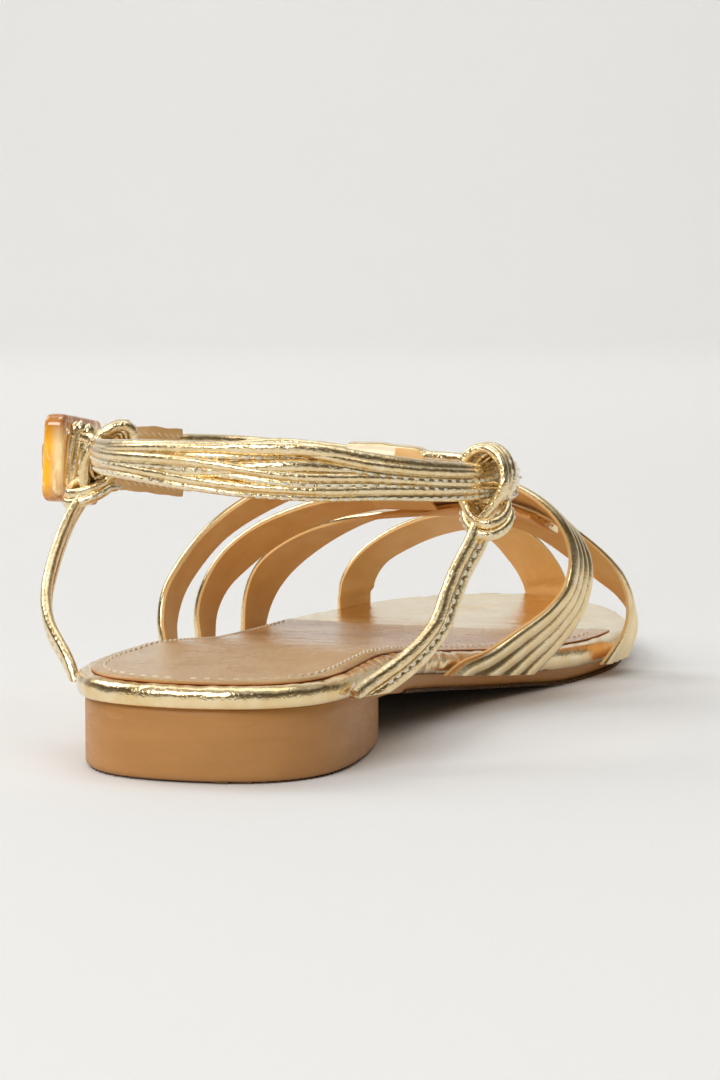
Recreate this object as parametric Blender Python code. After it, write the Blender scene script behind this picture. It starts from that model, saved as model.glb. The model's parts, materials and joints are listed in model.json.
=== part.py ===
"""A flat strappy sandal for the left foot, as separate solids.

The sole lies along +Y with the heel at the origin, +X is the inner (medial) side and +Z is up.
Every table is in millimetres. MM turns a millimetre into Blender's metre when a mesh is made.
"""

import math
from collections import namedtuple

import bmesh
import bpy
import numpy as np

# ---------------------------------------------------------------- sizes in millimetres

MM = 0.001
GAP = 0.3  # between two pieces that meet
UP = np.array([0.0, 0.0, 1.0])

SOLE_STATIONS = 34  # rungs along each side of the sole
STATION = 7.0  # spacing of the sections along a strap

# Footbed
RAND_GAP = 0.4  # strap lining to the footbed's edge
SOCK_THICKNESS = 0.7
SOCK_INSET = 3.0
SOCK_FRONT = 177.0  # where the sock ends, at its two sides
SOCK_DIP = 7.0  # how far its front edge runs back in the middle

# Straps
WALL = 1.1  # strap between its ribs
RIB = 0.9  # ribs stand this far above the wall
STRAP_MIDDLE = 1.0


def table(columns, *rows):
    """Rows whose columns have names."""
    row_type = namedtuple("Row", columns)
    return [row_type(*row) for row in rows]


HEEL_TIP = (0.5, -3.8)
TOE_TIP = (8.0, 239.6)
FOOTBED_EDGE = table(
    "along lateral medial",
    (-2.2, -10.6, 12.0),
    (1.2, -17.6, 19.6),
    (6.2, -22.4, 24.6),
    (13.0, -26.1, 27.8),
    (22.5, -28.5, 29.2),
    (36.0, -29.1, 28.9),
    (50.0, -28.9, 28.4),
    (65.0, -29.0, 28.4),
    (85.0, -31.4, 28.9),
    (105.0, -35.8, 31.0),
    (125.0, -40.0, 35.5),
    (145.0, -42.2, 41.4),
    (165.0, -42.2, 45.6),
    (183.0, -40.2, 46.3),
    (200.0, -35.8, 43.7),
    (214.0, -30.4, 38.6),
    (226.0, -23.4, 31.2),
    (235.0, -11.4, 21.0),
)

BLOCK_TIP = (0.5, -2.0)
BLOCK_BREAST = (-0.5, 62.6)
BLOCK_EDGE = table(
    "along lateral medial",
    (-0.7, -9.8, 11.1),
    (2.4, -16.2, 18.2),
    (7.1, -20.9, 23.0),
    (13.6, -24.5, 26.2),
    (22.8, -26.9, 27.6),
    (36.0, -27.3, 27.0),
    (49.0, -26.4, 25.0),
    (58.0, -24.0, 22.3),
    (62.6, -18.0, 16.2),
)
BLOCK_TOP = 12.3
BLOCK_CHAMFER = 0.8

# Top of the outsole, where footbed and straps sit
JOINT_LEVEL = table(
    "along height",
    (45.0, 14.4),
    (60.0, 13.4),
    (75.0, 11.7),
    (93.0, 9.4),
    (111.0, 7.2),
    (130.0, 5.2),
    (150.0, 3.8),
    (165.0, 3.4),
    (190.0, 3.4),
    (210.0, 3.9),
    (225.0, 4.6),
    (240.0, 5.5),
)
UNDERSIDE = table(
    "along height",
    (40.0, 10.9),
    (52.0, 10.5),
    (63.0, 9.3),
    (83.0, 7.0),
    (108.0, 4.0),
    (131.0, 1.7),
    (152.0, 0.0),
    (196.0, 0.0),
    (207.0, 0.5),
    (220.0, 1.3),
    (240.0, 2.7),
)
FOOTBED_THICKNESS = table("along height", (0.0, 4.3), (100.0, 4.7), (150.0, 5.1), (205.0, 5.0), (240.0, 4.5))
# Edge of the gold-wrapped footbed: how far in, and how high as a share of its thickness
RAND_PROFILE = table("inset rise", (1.3, 0.0), (0.3, 0.2), (0.0, 0.48), (0.35, 0.78), (1.5, 1.0))
# Outsole plate: inset at the heel and forefoot, and share of its thickness
PLATE_PROFILE = table("heel_inset fore_inset rise", (1.4, 3.1, 0.0), (1.4, 2.2, 0.3), (1.4, 1.5, 1.0))

# Each strap is a row of sections from its lateral to its medial end, given by its rear and front edge.
# The tables run through the middle of the wall, STRAP_MIDDLE above the lining.
INSTEP_STRAP = table(
    "rear front",
    ((-31.6, 76.0, 8.0), (-33.2, 85.8, 7.0)),
    ((-32.4, 76.6, 14.5), (-34.0, 87.0, 13.8)),
    ((-33.8, 78.0, 20.5), (-35.8, 91.3, 18.7)),
    ((-33.9, 81.0, 27.0), (-35.2, 94.2, 24.6)),
    ((-32.2, 85.6, 32.6), (-33.2, 98.2, 30.0)),
    ((-28.4, 92.4, 39.6), (-28.6, 105.0, 37.2)),
    ((-21.4, 101.0, 46.4), (-20.5, 114.0, 43.4)),
    ((-11.5, 110.5, 51.2), (-10.3, 124.0, 48.0)),
    ((0.0, 118.0, 53.2), (2.0, 133.2, 48.4)),
    ((13.5, 122.0, 52.8), (15.0, 139.2, 45.8)),
    ((26.0, 123.5, 50.4), (27.5, 141.4, 43.6)),
    ((36.5, 124.0, 46.8), (37.6, 141.6, 40.0)),
    ((43.7, 124.4, 41.0), (44.6, 140.8, 34.8)),
    ((47.2, 124.5, 33.5), (48.0, 139.0, 27.6)),
    ((47.0, 122.4, 26.4), (47.2, 136.8, 19.4)),
    ((44.3, 118.0, 21.3), (43.8, 132.3, 12.2)),
    ((39.2, 110.5, 16.8), (39.0, 124.5, 5.6)),
    ((34.6, 103.0, 13.3), (35.4, 115.0, 0.6)),
    ((31.4, 92.8, 11.9), (32.5, 105.0, -3.0)),
    ((30.2, 80.0, 9.6), (30.6, 97.0, -5.5)),
)
CROSS_STRAP = table(
    "rear front",
    ((-43.0, 127.0, 1.0), (-44.4, 139.5, 0.0)),
    ((-43.4, 127.2, 9.0), (-44.8, 139.7, 8.5)),
    ((-44.2, 127.5, 16.0), (-44.4, 140.3, 15.0)),
    ((-43.2, 128.6, 22.0), (-42.2, 141.7, 20.6)),
    ((-39.8, 131.5, 29.4), (-37.6, 144.5, 26.0)),
    ((-34.0, 134.6, 35.2), (-32.2, 147.0, 30.6)),
    ((-25.0, 136.4, 39.9), (-23.5, 148.4, 35.6)),
    ((-13.0, 136.8, 43.2), (-11.5, 148.6, 39.2)),
    ((0.0, 136.5, 44.8), (1.3, 148.0, 40.9)),
    ((12.0, 137.5, 45.0), (12.0, 149.8, 40.2)),
    ((24.0, 140.2, 43.4), (22.5, 153.2, 37.6)),
    ((33.5, 145.2, 40.4), (31.5, 157.9, 33.6)),
    ((41.0, 150.6, 36.6), (38.4, 162.4, 28.4)),
    ((46.8, 156.2, 31.0), (43.8, 167.2, 23.4)),
    ((50.6, 160.7, 25.0), (47.8, 172.6, 18.8)),
    ((52.2, 163.2, 18.2), (50.0, 176.6, 13.6)),
    ((51.6, 163.8, 11.8), (49.8, 178.2, 8.6)),
    ((48.8, 162.4, 6.4), (48.2, 178.0, 3.8)),
    ((46.0, 160.0, 2.0), (46.8, 175.6, -1.0)),
    ((44.6, 157.0, -2.0), (46.6, 172.5, -5.0)),
)
BALL_STRAP = table(
    "rear front",
    ((-44.4, 160.6, 0.0), (-43.7, 172.5, -0.5)),
    ((-44.7, 160.8, 8.0), (-43.6, 172.6, 7.5)),
    ((-44.4, 161.0, 15.0), (-42.2, 173.2, 13.4)),
    ((-43.2, 161.2, 20.0), (-39.8, 173.4, 18.0)),
    ((-40.4, 160.6, 24.8), (-35.6, 172.8, 22.8)),
    ((-34.6, 159.0, 29.6), (-29.0, 171.4, 28.0)),
    ((-26.4, 156.2, 33.8), (-20.5, 168.4, 33.0)),
    ((-16.8, 152.4, 36.9), (-11.0, 164.6, 37.0)),
    ((-6.0, 148.2, 38.8), (-1.0, 160.0, 38.8)),
    ((5.0, 144.0, 40.3), (9.0, 155.4, 39.5)),
    ((16.0, 139.6, 42.4), (20.0, 150.4, 40.2)),
    ((27.0, 136.2, 43.3), (31.0, 146.0, 40.0)),
    ((36.0, 133.4, 41.4), (40.0, 142.6, 37.0)),
)
TOE_STRAP = table(
    "rear front",
    ((-33.4, 206.0, 0.0), (-27.8, 215.6, 0.5)),
    ((-34.0, 206.3, 8.0), (-28.6, 216.3, 8.0)),
    ((-34.3, 206.4, 14.6), (-29.2, 217.0, 13.8)),
    ((-31.2, 208.2, 21.4), (-26.8, 220.0, 19.6)),
    ((-24.6, 210.3, 27.3), (-20.5, 223.6, 24.0)),
    ((-14.4, 212.9, 32.1), (-12.5, 226.6, 27.4)),
    ((-3.5, 215.8, 33.8), (-5.0, 229.0, 28.6)),
    ((5.6, 219.6, 32.2), (-0.4, 231.3, 25.8)),
    ((12.4, 225.6, 27.0), (3.2, 234.8, 20.8)),
    ((16.9, 231.4, 20.4), (5.6, 239.0, 15.6)),
    ((18.7, 236.2, 13.8), (6.8, 241.2, 10.8)),
    ((18.8, 237.4, 7.5), (7.0, 241.6, 5.0)),
    ((18.6, 237.4, -1.0), (7.0, 241.6, -1.5)),
)
# From its lower end, inside the crossing, back and up to the keeper; the two edges are lateral and medial
T_STRAP = table(
    "rear front",
    ((-3.0, 141.0, 42.2), (11.0, 141.0, 42.2)),
    ((-2.7, 134.5, 44.6), (11.3, 134.5, 44.6)),
    ((-2.2, 128.0, 47.2), (11.8, 128.0, 47.2)),
    ((-1.5, 121.5, 50.2), (12.5, 121.5, 50.2)),
    ((-0.6, 115.9, 51.9), (13.4, 115.9, 51.9)),
)


# Middle line of the corded ankle strap from the tab round the front, inside and back to the buckle
ANKLE_CORDS = table(
    "middle height thickness",
    ((-31.8, 95.2, 54.2), 13.0, 2.8),
    ((-27.2, 102.4, 54.6), 11.6, 3.0),
    ((-21.5, 106.2, 55.4), 9.4, 3.4),
    ((-15.0, 108.4, 55.9), 7.2, 3.9),
    ((-8.5, 109.5, 55.4), 6.5, 4.2),
    ((-0.2, 111.0, 54.5), 6.2, 4.1),
    ((15.0, 110.8, 54.1), 6.2, 4.1),
    ((28.0, 106.4, 53.4), 7.2, 4.0),
    ((40.4, 94.0, 53.2), 8.0, 3.6),
    ((45.8, 76.0, 53.6), 8.0, 3.6),
    ((45.4, 58.0, 54.9), 7.4, 3.8),
    ((43.6, 49.0, 55.4), 7.6, 3.7),
    ((38.0, 38.0, 56.4), 8.4, 3.6),
    ((31.0, 30.6, 57.4), 9.6, 3.5),
    ((21.0, 24.2, 58.5), 11.4, 3.4),
    ((9.0, 21.0, 59.1), 10.9, 3.4),
    ((-4.0, 21.2, 59.7), 9.6, 3.5),
    ((-16.0, 24.6, 60.1), 8.2, 3.7),
    ((-26.0, 32.4, 59.8), 7.2, 4.0),
    ((-32.6, 42.4, 59.4), 7.2, 4.0),
    ((-37.0, 54.0, 58.8), 7.4, 3.8),
    ((-41.0, 60.4, 58.2), 9.0, 3.0),
    ((-47.2, 62.8, 57.6), 12.0, 2.4),
)
CORD_STATION = 7.0
CORDS = 4
CORD_GROOVE = 0.32  # depth between two cords, as a share of the strap's thickness

# Leather tab from the cords' front end, inside the buckle's front bar and out through its opening
ANKLE_TAB = table(
    "middle height",
    ((-32.0, 94.8, 54.2), 15.0),
    ((-35.0, 90.2, 54.5), 15.0),
    ((-40.4, 85.6, 55.4), 14.6),
    ((-46.4, 81.6, 54.9), 12.0),
    ((-49.4, 77.0, 55.2), 11.4),
    ((-52.0, 71.0, 56.0), 11.4),
    ((-54.0, 66.4, 56.6), 9.6),
    ((-54.8, 64.4, 56.8), 6.0),
)
TAB_THICKNESS = 1.7
HOLE = 1.2
HOLE_SIDES = 8
FREE_HOLE = ((-34.0, 84.2, 54.8), (-41.0, 91.6, 54.8))

BUCKLE_CENTRE = (-51.4, 71.6, 55.9)
BUCKLE_LENGTHWAYS = (-0.02, 1.0, -0.13)
BUCKLE_LENGTH = 24.0
BUCKLE_HEIGHT = 19.0
BUCKLE_BAR = 3.1
BUCKLE_DEPTH = 4.4
BUCKLE_CORNER = 4.4
PRONG = ((-51.9, 63.5, 56.9), (-52.8, 69.4, 56.2), (-54.2, 77.0, 55.2), (-55.1, 83.6, 54.4))
PRONG_RADIUS = 0.75

# Sleeve at the T-strap's top, round the cords
KEEPER_CENTRE = (7.4, 111.1, 54.2)
KEEPER_WIDTH = 15.5
KEEPER_HEIGHT = 9.6
KEEPER_DEPTH = 7.8
KEEPER_WALL = 1.2

# Corded bands from the sole's edge up to the ankle strap, each with a loop round it and a collar below
SIDE_BAND = table(
    "medial lateral",
    ((30.6, 18.8, 14.0), (-30.3, 24.0, 12.0)),
    ((31.9, 26.8, 16.9), (-31.6, 25.2, 17.0)),
    ((35.7, 35.0, 22.0), (-38.6, 30.0, 24.6)),
    ((41.4, 43.0, 28.6), (-42.6, 37.0, 31.6)),
    ((44.0, 48.0, 36.7), (-43.8, 43.6, 37.4)),
    ((45.6, 52.4, 42.6), (-43.4, 49.0, 43.2)),
    ((46.0, 55.2, 46.4), (-42.4, 52.8, 48.2)),
    ((45.7, 57.2, 48.9), (-39.2, 54.8, 51.9)),
)
BAND_WIDTH = 5.4
BAND_THICKNESS = 2.3
LOOP_MIDDLE = {"medial": (45.5, 58.0, 55.2), "lateral": (-37.2, 55.0, 58.6)}
LOOP_ACROSS = {"medial": (0.99, -0.12), "lateral": (-0.92, -0.4)}
LOOP_REACH = (5.0, 6.3)
# Depth below the loop's middle, and share of the collar's reach
COLLAR_DROP = ((-11.6, 0.55), (-10.8, 0.95), (-8.6, 1.0), (-7.6, 0.6))
COLLAR_REACH = (5.3, 3.4)
COLLAR_FALL = 0.22  # towards the outside
COLLAR_RISE = 0.3  # towards the toe
LOOP_STATIONS = 14


# ---------------------------------------------------------------- curves and tables


def through(points, per_span, closed=False):
    """Points along a centripetal Catmull-Rom curve through the given ones."""
    points = np.asarray(points, float)
    if closed:
        padded = np.vstack([points[-1:], points, points[:2]])
    else:
        first = 2 * points[0] - points[1]
        last = 2 * points[-1] - points[-2]
        padded = np.vstack([first, points, last])
    made = []
    for p0, p1, p2, p3 in zip(padded, padded[1:], padded[2:], padded[3:]):
        k0 = 0.0
        k1 = k0 + math.sqrt(np.linalg.norm(p1 - p0))
        k2 = k1 + math.sqrt(np.linalg.norm(p2 - p1))
        k3 = k2 + math.sqrt(np.linalg.norm(p3 - p2))
        for k in np.linspace(k1, k2, per_span, endpoint=False):
            a1 = (k1 - k) / (k1 - k0) * p0 + (k - k0) / (k1 - k0) * p1
            a2 = (k2 - k) / (k2 - k1) * p1 + (k - k1) / (k2 - k1) * p2
            a3 = (k3 - k) / (k3 - k2) * p2 + (k - k2) / (k3 - k2) * p3
            b1 = (k2 - k) / (k2 - k0) * a1 + (k - k0) / (k2 - k0) * a2
            b2 = (k3 - k) / (k3 - k1) * a2 + (k - k1) / (k3 - k1) * a3
            made.append((k2 - k) / (k2 - k1) * b1 + (k - k1) / (k2 - k1) * b2)
    if not closed:
        made.append(points[-1])
    return np.array(made)


def evenly(points, count):
    """The polyline cut into count equal lengths."""
    steps = np.linalg.norm(np.diff(points, axis=0), axis=1)
    run = np.concatenate([[0.0], np.cumsum(steps)])
    wanted = np.linspace(0.0, run[-1], count + 1)
    return np.stack([np.interp(wanted, run, column) for column in points.T], axis=1)


def level(rows, along):
    """Height of a table at these places along the foot: a smooth curve that never overshoots its rows."""
    x = np.array([row.along for row in rows])
    y = np.array([row.height for row in rows])
    slope = np.diff(y) / np.diff(x)
    both = slope[:-1] * slope[1:]
    tangent = np.zeros(len(x))
    bends = both > 0
    tangent[1:-1][bends] = 2 * both[bends] / (slope[:-1][bends] + slope[1:][bends])
    along = np.clip(along, x[0], x[-1])
    i = np.clip(np.searchsorted(x, along) - 1, 0, len(x) - 2)
    width = x[i + 1] - x[i]
    t = (along - x[i]) / width
    start = (1 + 2 * t) * (1 - t) ** 2 * y[i] + t * (1 - t) ** 2 * width * tangent[i]
    end = t**2 * (3 - 2 * t) * y[i + 1] + t**2 * (t - 1) * width * tangent[i + 1]
    return start + end


def unit(vectors):
    return vectors / np.linalg.norm(vectors, axis=-1, keepdims=True)


# ---------------------------------------------------------------- sole


def outline(edge, back, front, inset=0.0):
    """The medial and lateral sides of a sole outline, each from its back to its front point."""
    medial = [(row.medial, row.along) for row in edge]
    lateral = [(row.lateral, row.along) for row in reversed(edge)]
    per_span = 12
    closed = through([back, *medial, front, *lateral], per_span, closed=True)
    ahead = np.roll(closed, -1, axis=0) - np.roll(closed, 1, axis=0)
    outward = unit(np.stack([ahead[:, 1], -ahead[:, 0]], axis=1))
    closed = closed - outward * inset
    half = (len(medial) + 1) * per_span
    return closed[: half + 1], np.vstack([closed[half:], closed[:1]])[::-1]


def sole_ring(sides, height):
    """A closed ring of points, medial side forward and lateral side back, at height(along)."""
    medial, lateral = (evenly(side, SOLE_STATIONS) for side in sides)
    ring = np.vstack([medial, lateral[-2:0:-1]])
    return np.column_stack([ring, height(ring[:, 1])])


def slab(name, rings):
    """A solid between rings from bottom to top, closed by rungs from the medial to the lateral side."""
    size = len(rings[0])
    half = size // 2
    faces = []
    for low in range(len(rings) - 1):
        for i in range(size):
            j = (i + 1) % size
            faces.append((low * size + i, low * size + j, (low + 1) * size + j, (low + 1) * size + i))
    for start, upward in ((0, False), ((len(rings) - 1) * size, True)):
        for i in range(half):
            rung = [i, i + 1, (size - i - 1) % size, (size - i) % size]
            face = [start + k for k in dict.fromkeys(rung)]
            faces.append(tuple(face if upward else reversed(face)))
    return new_object(name, np.vstack(rings), faces)


def joint(along):
    return level(JOINT_LEVEL, along)


def footbed_base(along):
    return joint(along) + GAP


def footbed_top(along):
    return footbed_base(along) + level(FOOTBED_THICKNESS, along)


def make_outsole():
    """The thin plate and the heel block, moulded in one."""
    rings = []
    fore_start, heel_end = 75.0, 48.0
    for row in PLATE_PROFILE:
        heel_side = outline(FOOTBED_EDGE, HEEL_TIP, TOE_TIP, row.heel_inset)
        fore_side = outline(FOOTBED_EDGE, HEEL_TIP, TOE_TIP, row.fore_inset)
        sides = []
        for heel_points, fore_points in zip(heel_side, fore_side):
            share = np.clip((heel_points[:, 1] - heel_end) / (fore_start - heel_end), 0, 1)[:, None]
            sides.append(heel_points * (1 - share) + fore_points * share)

        def height(along, rise=row.rise):
            return level(UNDERSIDE, along) * (1 - rise) + joint(along) * rise

        rings.append(sole_ring(sides, height))
    plate = slab("outsole", rings)

    rings = []
    for inset, height in ((BLOCK_CHAMFER, 0.0), (0.0, BLOCK_CHAMFER), (0.0, BLOCK_TOP)):
        sides = outline(BLOCK_EDGE, BLOCK_TIP, BLOCK_BREAST, inset)
        rings.append(sole_ring(sides, lambda along, height=height: np.full(len(along), height)))
    block = slab("heel_block", rings)
    combine(plate, block, "UNION")
    return plate


def make_footbed():
    """The insole board in its gold wrap, with a rounded edge."""
    rings = []
    for row in RAND_PROFILE:
        sides = outline(FOOTBED_EDGE, HEEL_TIP, TOE_TIP, row.inset)

        def height(along, rise=row.rise):
            return footbed_base(along) * (1 - rise) + footbed_top(along) * rise

        rings.append(sole_ring(sides, height))
    return slab("footbed", rings)


def make_sock():
    """The lining that covers the footbed from the heel to the ball."""
    columns = np.linspace(0.0, 1.0, 7)
    stations = 24
    medial, lateral = outline(FOOTBED_EDGE, HEEL_TIP, TOE_TIP, SOCK_INSET)
    medial = evenly(medial[medial[:, 1] < SOCK_FRONT + 4.0], stations)
    lateral = evenly(lateral[lateral[:, 1] < SOCK_FRONT], stations)
    points = [[*medial[0]]]
    for right, left in zip(medial[1:], lateral[1:]):
        for share in columns:
            x, y = left + (right - left) * share
            reach = np.clip((y - 110.0) / (SOCK_FRONT - 110.0), 0, 1)
            points.append([x, y - SOCK_DIP * reach**2 * 4 * share * (1 - share)])
    points = np.array(points)
    low = np.column_stack([points, footbed_top(points[:, 1]) + GAP])
    high = low + (0.0, 0.0, SOCK_THICKNESS)
    wide = len(columns)
    sheet = [(0, 2 + k, 1 + k) for k in range(wide - 1)]
    for row in range(stations - 1):
        for k in range(wide - 1):
            a = 1 + row * wide + k
            sheet.append((a, a + 1, a + wide + 1, a + wide))
    rim = [0]
    rim += [1 + row * wide + wide - 1 for row in range(stations)]
    rim += [1 + (stations - 1) * wide + k for k in range(wide - 2, -1, -1)]
    rim += [1 + row * wide for row in range(stations - 2, -1, -1)]
    above = len(points)
    faces = [tuple(above + k for k in face) for face in sheet]
    faces += [tuple(reversed(face)) for face in sheet]
    for a, b in zip(rim, rim[1:] + rim[:1]):
        faces.append((a, b, b + above, a + above))
    return new_object("sock", np.vstack([low, high]), faces)


# ---------------------------------------------------------------- straps


def clear_of_rand(points):
    """Moves the points that would lie in the footbed's edge straight out, to just beside it."""
    medial, lateral = outline(FOOTBED_EDGE, HEEL_TIP, TOE_TIP)
    edge = np.vstack([medial, lateral[-2:0:-1]])
    ahead = np.roll(edge, -1, axis=0) - edge
    outward = unit(np.stack([ahead[:, 1], -ahead[:, 0]], axis=1))
    moved = points.copy()
    deep_below, clear_above = 12.0, 3.0
    for point in moved:
        if not joint(point[1]) - deep_below < point[2] < footbed_top(point[1]) + clear_above:
            continue
        share = np.einsum("ij,ij->i", point[:2] - edge, ahead) / np.einsum("ij,ij->i", ahead, ahead)
        nearest = edge + ahead * np.clip(share, 0, 1)[:, None]
        i = int(np.argmin(np.linalg.norm(nearest - point[:2], axis=1)))
        beside = float(np.dot(point[:2] - nearest[i], outward[i]))
        if beside < RAND_GAP:
            point[:2] += outward[i] * (RAND_GAP - beside)
    return moved


def rib_profile(ribs):
    """Share across a strap and share of the rib height, for its ribbed face."""
    profile = []
    for rib in range(ribs):
        profile += [(rib / ribs, 0.0), ((rib + 0.27) / ribs, 1.0), ((rib + 0.73) / ribs, 1.0)]
    return [*profile, (1.0, 0.0)]


def ribbon(name, rows, ribs, beside_rand=True):
    """A strap through the sections of a table, ribbed outside and plain inside."""
    edges = through([(*row.rear, *row.front) for row in rows], 10)
    middle = (edges[:, :3] + edges[:, 3:]) / 2
    count = round(np.linalg.norm(np.diff(middle, axis=0), axis=1).sum() / STATION)
    edges = evenly(edges, count)
    rear, front = edges[:, :3], edges[:, 3:]
    across = front - rear
    outward = unit(np.cross(np.gradient((rear + front) / 2, axis=0), across))
    lining_shares = (1.0, 0.75, 0.5, 0.25, 0.0)
    shares = [share for share, _ in rib_profile(ribs)] + list(lining_shares)
    heights = [WALL + RIB * rise for _, rise in rib_profile(ribs)] + [0.0] * len(lining_shares)
    sections = []
    for start, span, normal in zip(rear, across, outward):
        lining = np.array([start - normal * STRAP_MIDDLE + span * share for share in shares])
        if beside_rand:
            lining = clear_of_rand(lining)
        sections.append(lining + normal * np.array(heights)[:, None])
    return tube(name, sections)


def tube(name, sections, closed=False):
    """A solid through loops of equal count, closed at both ends or run round in a ring."""
    size = len(sections[0])
    count = len(sections)
    faces = []
    for s in range(count if closed else count - 1):
        here, there = s * size, (s + 1) % count * size
        for i in range(size):
            j = (i + 1) % size
            faces.append((here + i, here + j, there + j, there + i))
    if not closed:
        faces.append(tuple(reversed(range(size))))
        faces.append(tuple((count - 1) * size + i for i in range(size)))
    return new_object(name, np.vstack(sections), faces)


def seat_cutter():
    """Everything under the outsole's top, which trims the straps' ends."""
    below = -30.0
    sides = outline(FOOTBED_EDGE, HEEL_TIP, TOE_TIP, -15.0)
    low = sole_ring(sides, lambda along: np.full(len(along), below))
    high = sole_ring(sides, footbed_base)
    return slab("under_the_straps", [low, high])


def make_upper(below):
    """The straps over the foot, one solid, joined where they cross, and the T-strap up to the keeper."""
    upper = ribbon("upper", INSTEP_STRAP, 4)
    combine(upper, ribbon("cross_strap", CROSS_STRAP, 4), "UNION")
    combine(upper, ribbon("ball_strap", BALL_STRAP, 4), "UNION")
    combine(upper, ribbon("t_strap", T_STRAP, 3, beside_rand=False), "UNION")
    combine(upper, below, "DIFFERENCE")
    return upper


def make_toe_strap(below):
    """The one strap that crosses no other."""
    strap = ribbon("toe_strap", TOE_STRAP, 4)
    combine(strap, below, "DIFFERENCE")
    return strap


def strap_frames(points, outward):
    """At each point of a path: the directions across it and out of it."""
    along = unit(np.gradient(points, axis=0))
    out = np.asarray(outward, float) - along * (along @ np.asarray(outward, float))[:, None]
    out = unit(out)
    return np.cross(along, out), out


def sweep(name, points, profile, outward, closed=False):
    """A profile of (across, out) pairs drawn along a path."""
    across, out = strap_frames(points, outward)
    profile = np.array(profile)
    sections = []
    for point, a, o in zip(points, across, out):
        sections.append(point + np.outer(profile[:, 0], a) + np.outer(profile[:, 1], o))
    return tube(name, sections, closed)


def flat_profile(width, thickness, corner=0.55):
    """A band's cross-section; its corners are cut off over this share of its half thickness."""
    w, t = width / 2, thickness / 2
    cut = corner * t
    right = [(w, cut - t), (w, t - cut)]
    left = [(-w, t - cut), (-w, cut - t)]
    return [*right, (w - cut, t), (cut - w, t), *left, (cut - w, -t), (w - cut, -t)]


def oval(reach, count=12):
    """Points round an oval of these half-widths."""
    turns = np.linspace(0.0, 2 * math.pi, count, endpoint=False)
    return np.column_stack([np.cos(turns) * reach[0], np.sin(turns) * reach[1]])


# ---------------------------------------------------------------- ankle strap


def cord_profile(height, thickness):
    """(side, up) pairs round a stack of cords."""
    points = []
    for side in (1, -1):
        for cord in range(CORDS):
            for share, reach in ((0.0, 1 - 2 * CORD_GROOVE), (0.28, 0.94), (0.72, 0.94)):
                if share == 0.0 and cord == 0:
                    reach = 0.5
                up = ((cord + share) / CORDS - 0.5) * height * side
                points.append((side * reach * thickness / 2, up))
    return np.array(points)


def make_ankle_strap():
    """The bundle of cords round the ankle."""
    rows = through([(*row.middle, row.height, row.thickness) for row in ANKLE_CORDS], 10)
    length = np.linalg.norm(np.diff(rows[:, :3], axis=0), axis=1).sum()
    rows = evenly(rows, round(length / CORD_STATION))
    along = unit(np.gradient(rows[:, :3], axis=0))
    side = unit(np.cross(along, UP))
    sections = []
    for row, s in zip(rows, side):
        profile = cord_profile(row[3], row[4])
        sections.append(row[:3] + np.outer(profile[:, 0], s) + np.outer(profile[:, 1], UP))
    return tube("ankle_strap", sections)


def make_ankle_tab():
    """The flat leather end of the ankle strap, with the prong in one hole and one hole free."""
    rows = through([(*row.middle, row.height) for row in ANKLE_TAB], 3)
    along = unit(np.gradient(rows[:, :3], axis=0))
    side = unit(np.cross(along, UP))
    sections = []
    for row, s in zip(rows, side):
        profile = np.array(flat_profile(row[3], TAB_THICKNESS))
        sections.append(row[:3] + np.outer(profile[:, 1], s) + np.outer(profile[:, 0], UP))
    tab = tube("ankle_tab", sections)
    punch = oval((HOLE, HOLE), HOLE_SIDES)
    combine(tab, sweep("prong_hole", through(PRONG, 3), punch, (-1.0, 0.0, 0.0)), "DIFFERENCE")
    combine(tab, sweep("free_hole", np.array(FREE_HOLE), punch, UP), "DIFFERENCE")
    return tab


def make_buckle_frame():
    """A rounded rectangle of bar with softened edges."""
    reach = np.array([BUCKLE_LENGTH - BUCKLE_BAR, BUCKLE_HEIGHT - BUCKLE_BAR]) / 2
    corner = BUCKLE_CORNER - BUCKLE_BAR / 2
    lengthways = unit(np.array(BUCKLE_LENGTHWAYS))
    outward = unit(np.cross(lengthways, UP))
    up = np.cross(outward, lengthways)
    sections = []
    for quarter, (a, b) in enumerate(((1, 1), (-1, 1), (-1, -1), (1, -1))):
        for step in range(4):
            angle = math.radians(90 * quarter + 30 * step)
            ray = lengthways * math.cos(angle) + up * math.sin(angle)
            middle = lengthways * a * (reach[0] - corner) + up * b * (reach[1] - corner) + ray * corner
            profile = np.array(flat_profile(BUCKLE_BAR, BUCKLE_DEPTH))
            centre = np.array(BUCKLE_CENTRE) + middle
            sections.append(centre + np.outer(profile[:, 0], ray) + np.outer(profile[:, 1], outward))
    return tube("buckle_frame", sections, closed=True)


def make_buckle_prong():
    points = through(PRONG, 3)
    return sweep("buckle_prong", points, oval((PRONG_RADIUS, PRONG_RADIUS), 8), (-1.0, 0.0, 0.0))


def make_keeper():
    """The folded end of the T-strap, as a sleeve round the cords."""
    half = KEEPER_WIDTH / 2
    outer = flat_profile(KEEPER_DEPTH, KEEPER_HEIGHT, 0.35)
    inner = flat_profile(KEEPER_DEPTH - 2 * KEEPER_WALL, KEEPER_HEIGHT - 2 * KEEPER_WALL, 0.12)
    sections = []
    for x, profile in ((-half, outer), (half, outer), (half, inner), (-half, inner)):
        points = [(x, y, z) for y, z in profile]
        sections.append(np.array(KEEPER_CENTRE) + np.array(points))
    return tube("keeper_loop", sections, closed=True)


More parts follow.
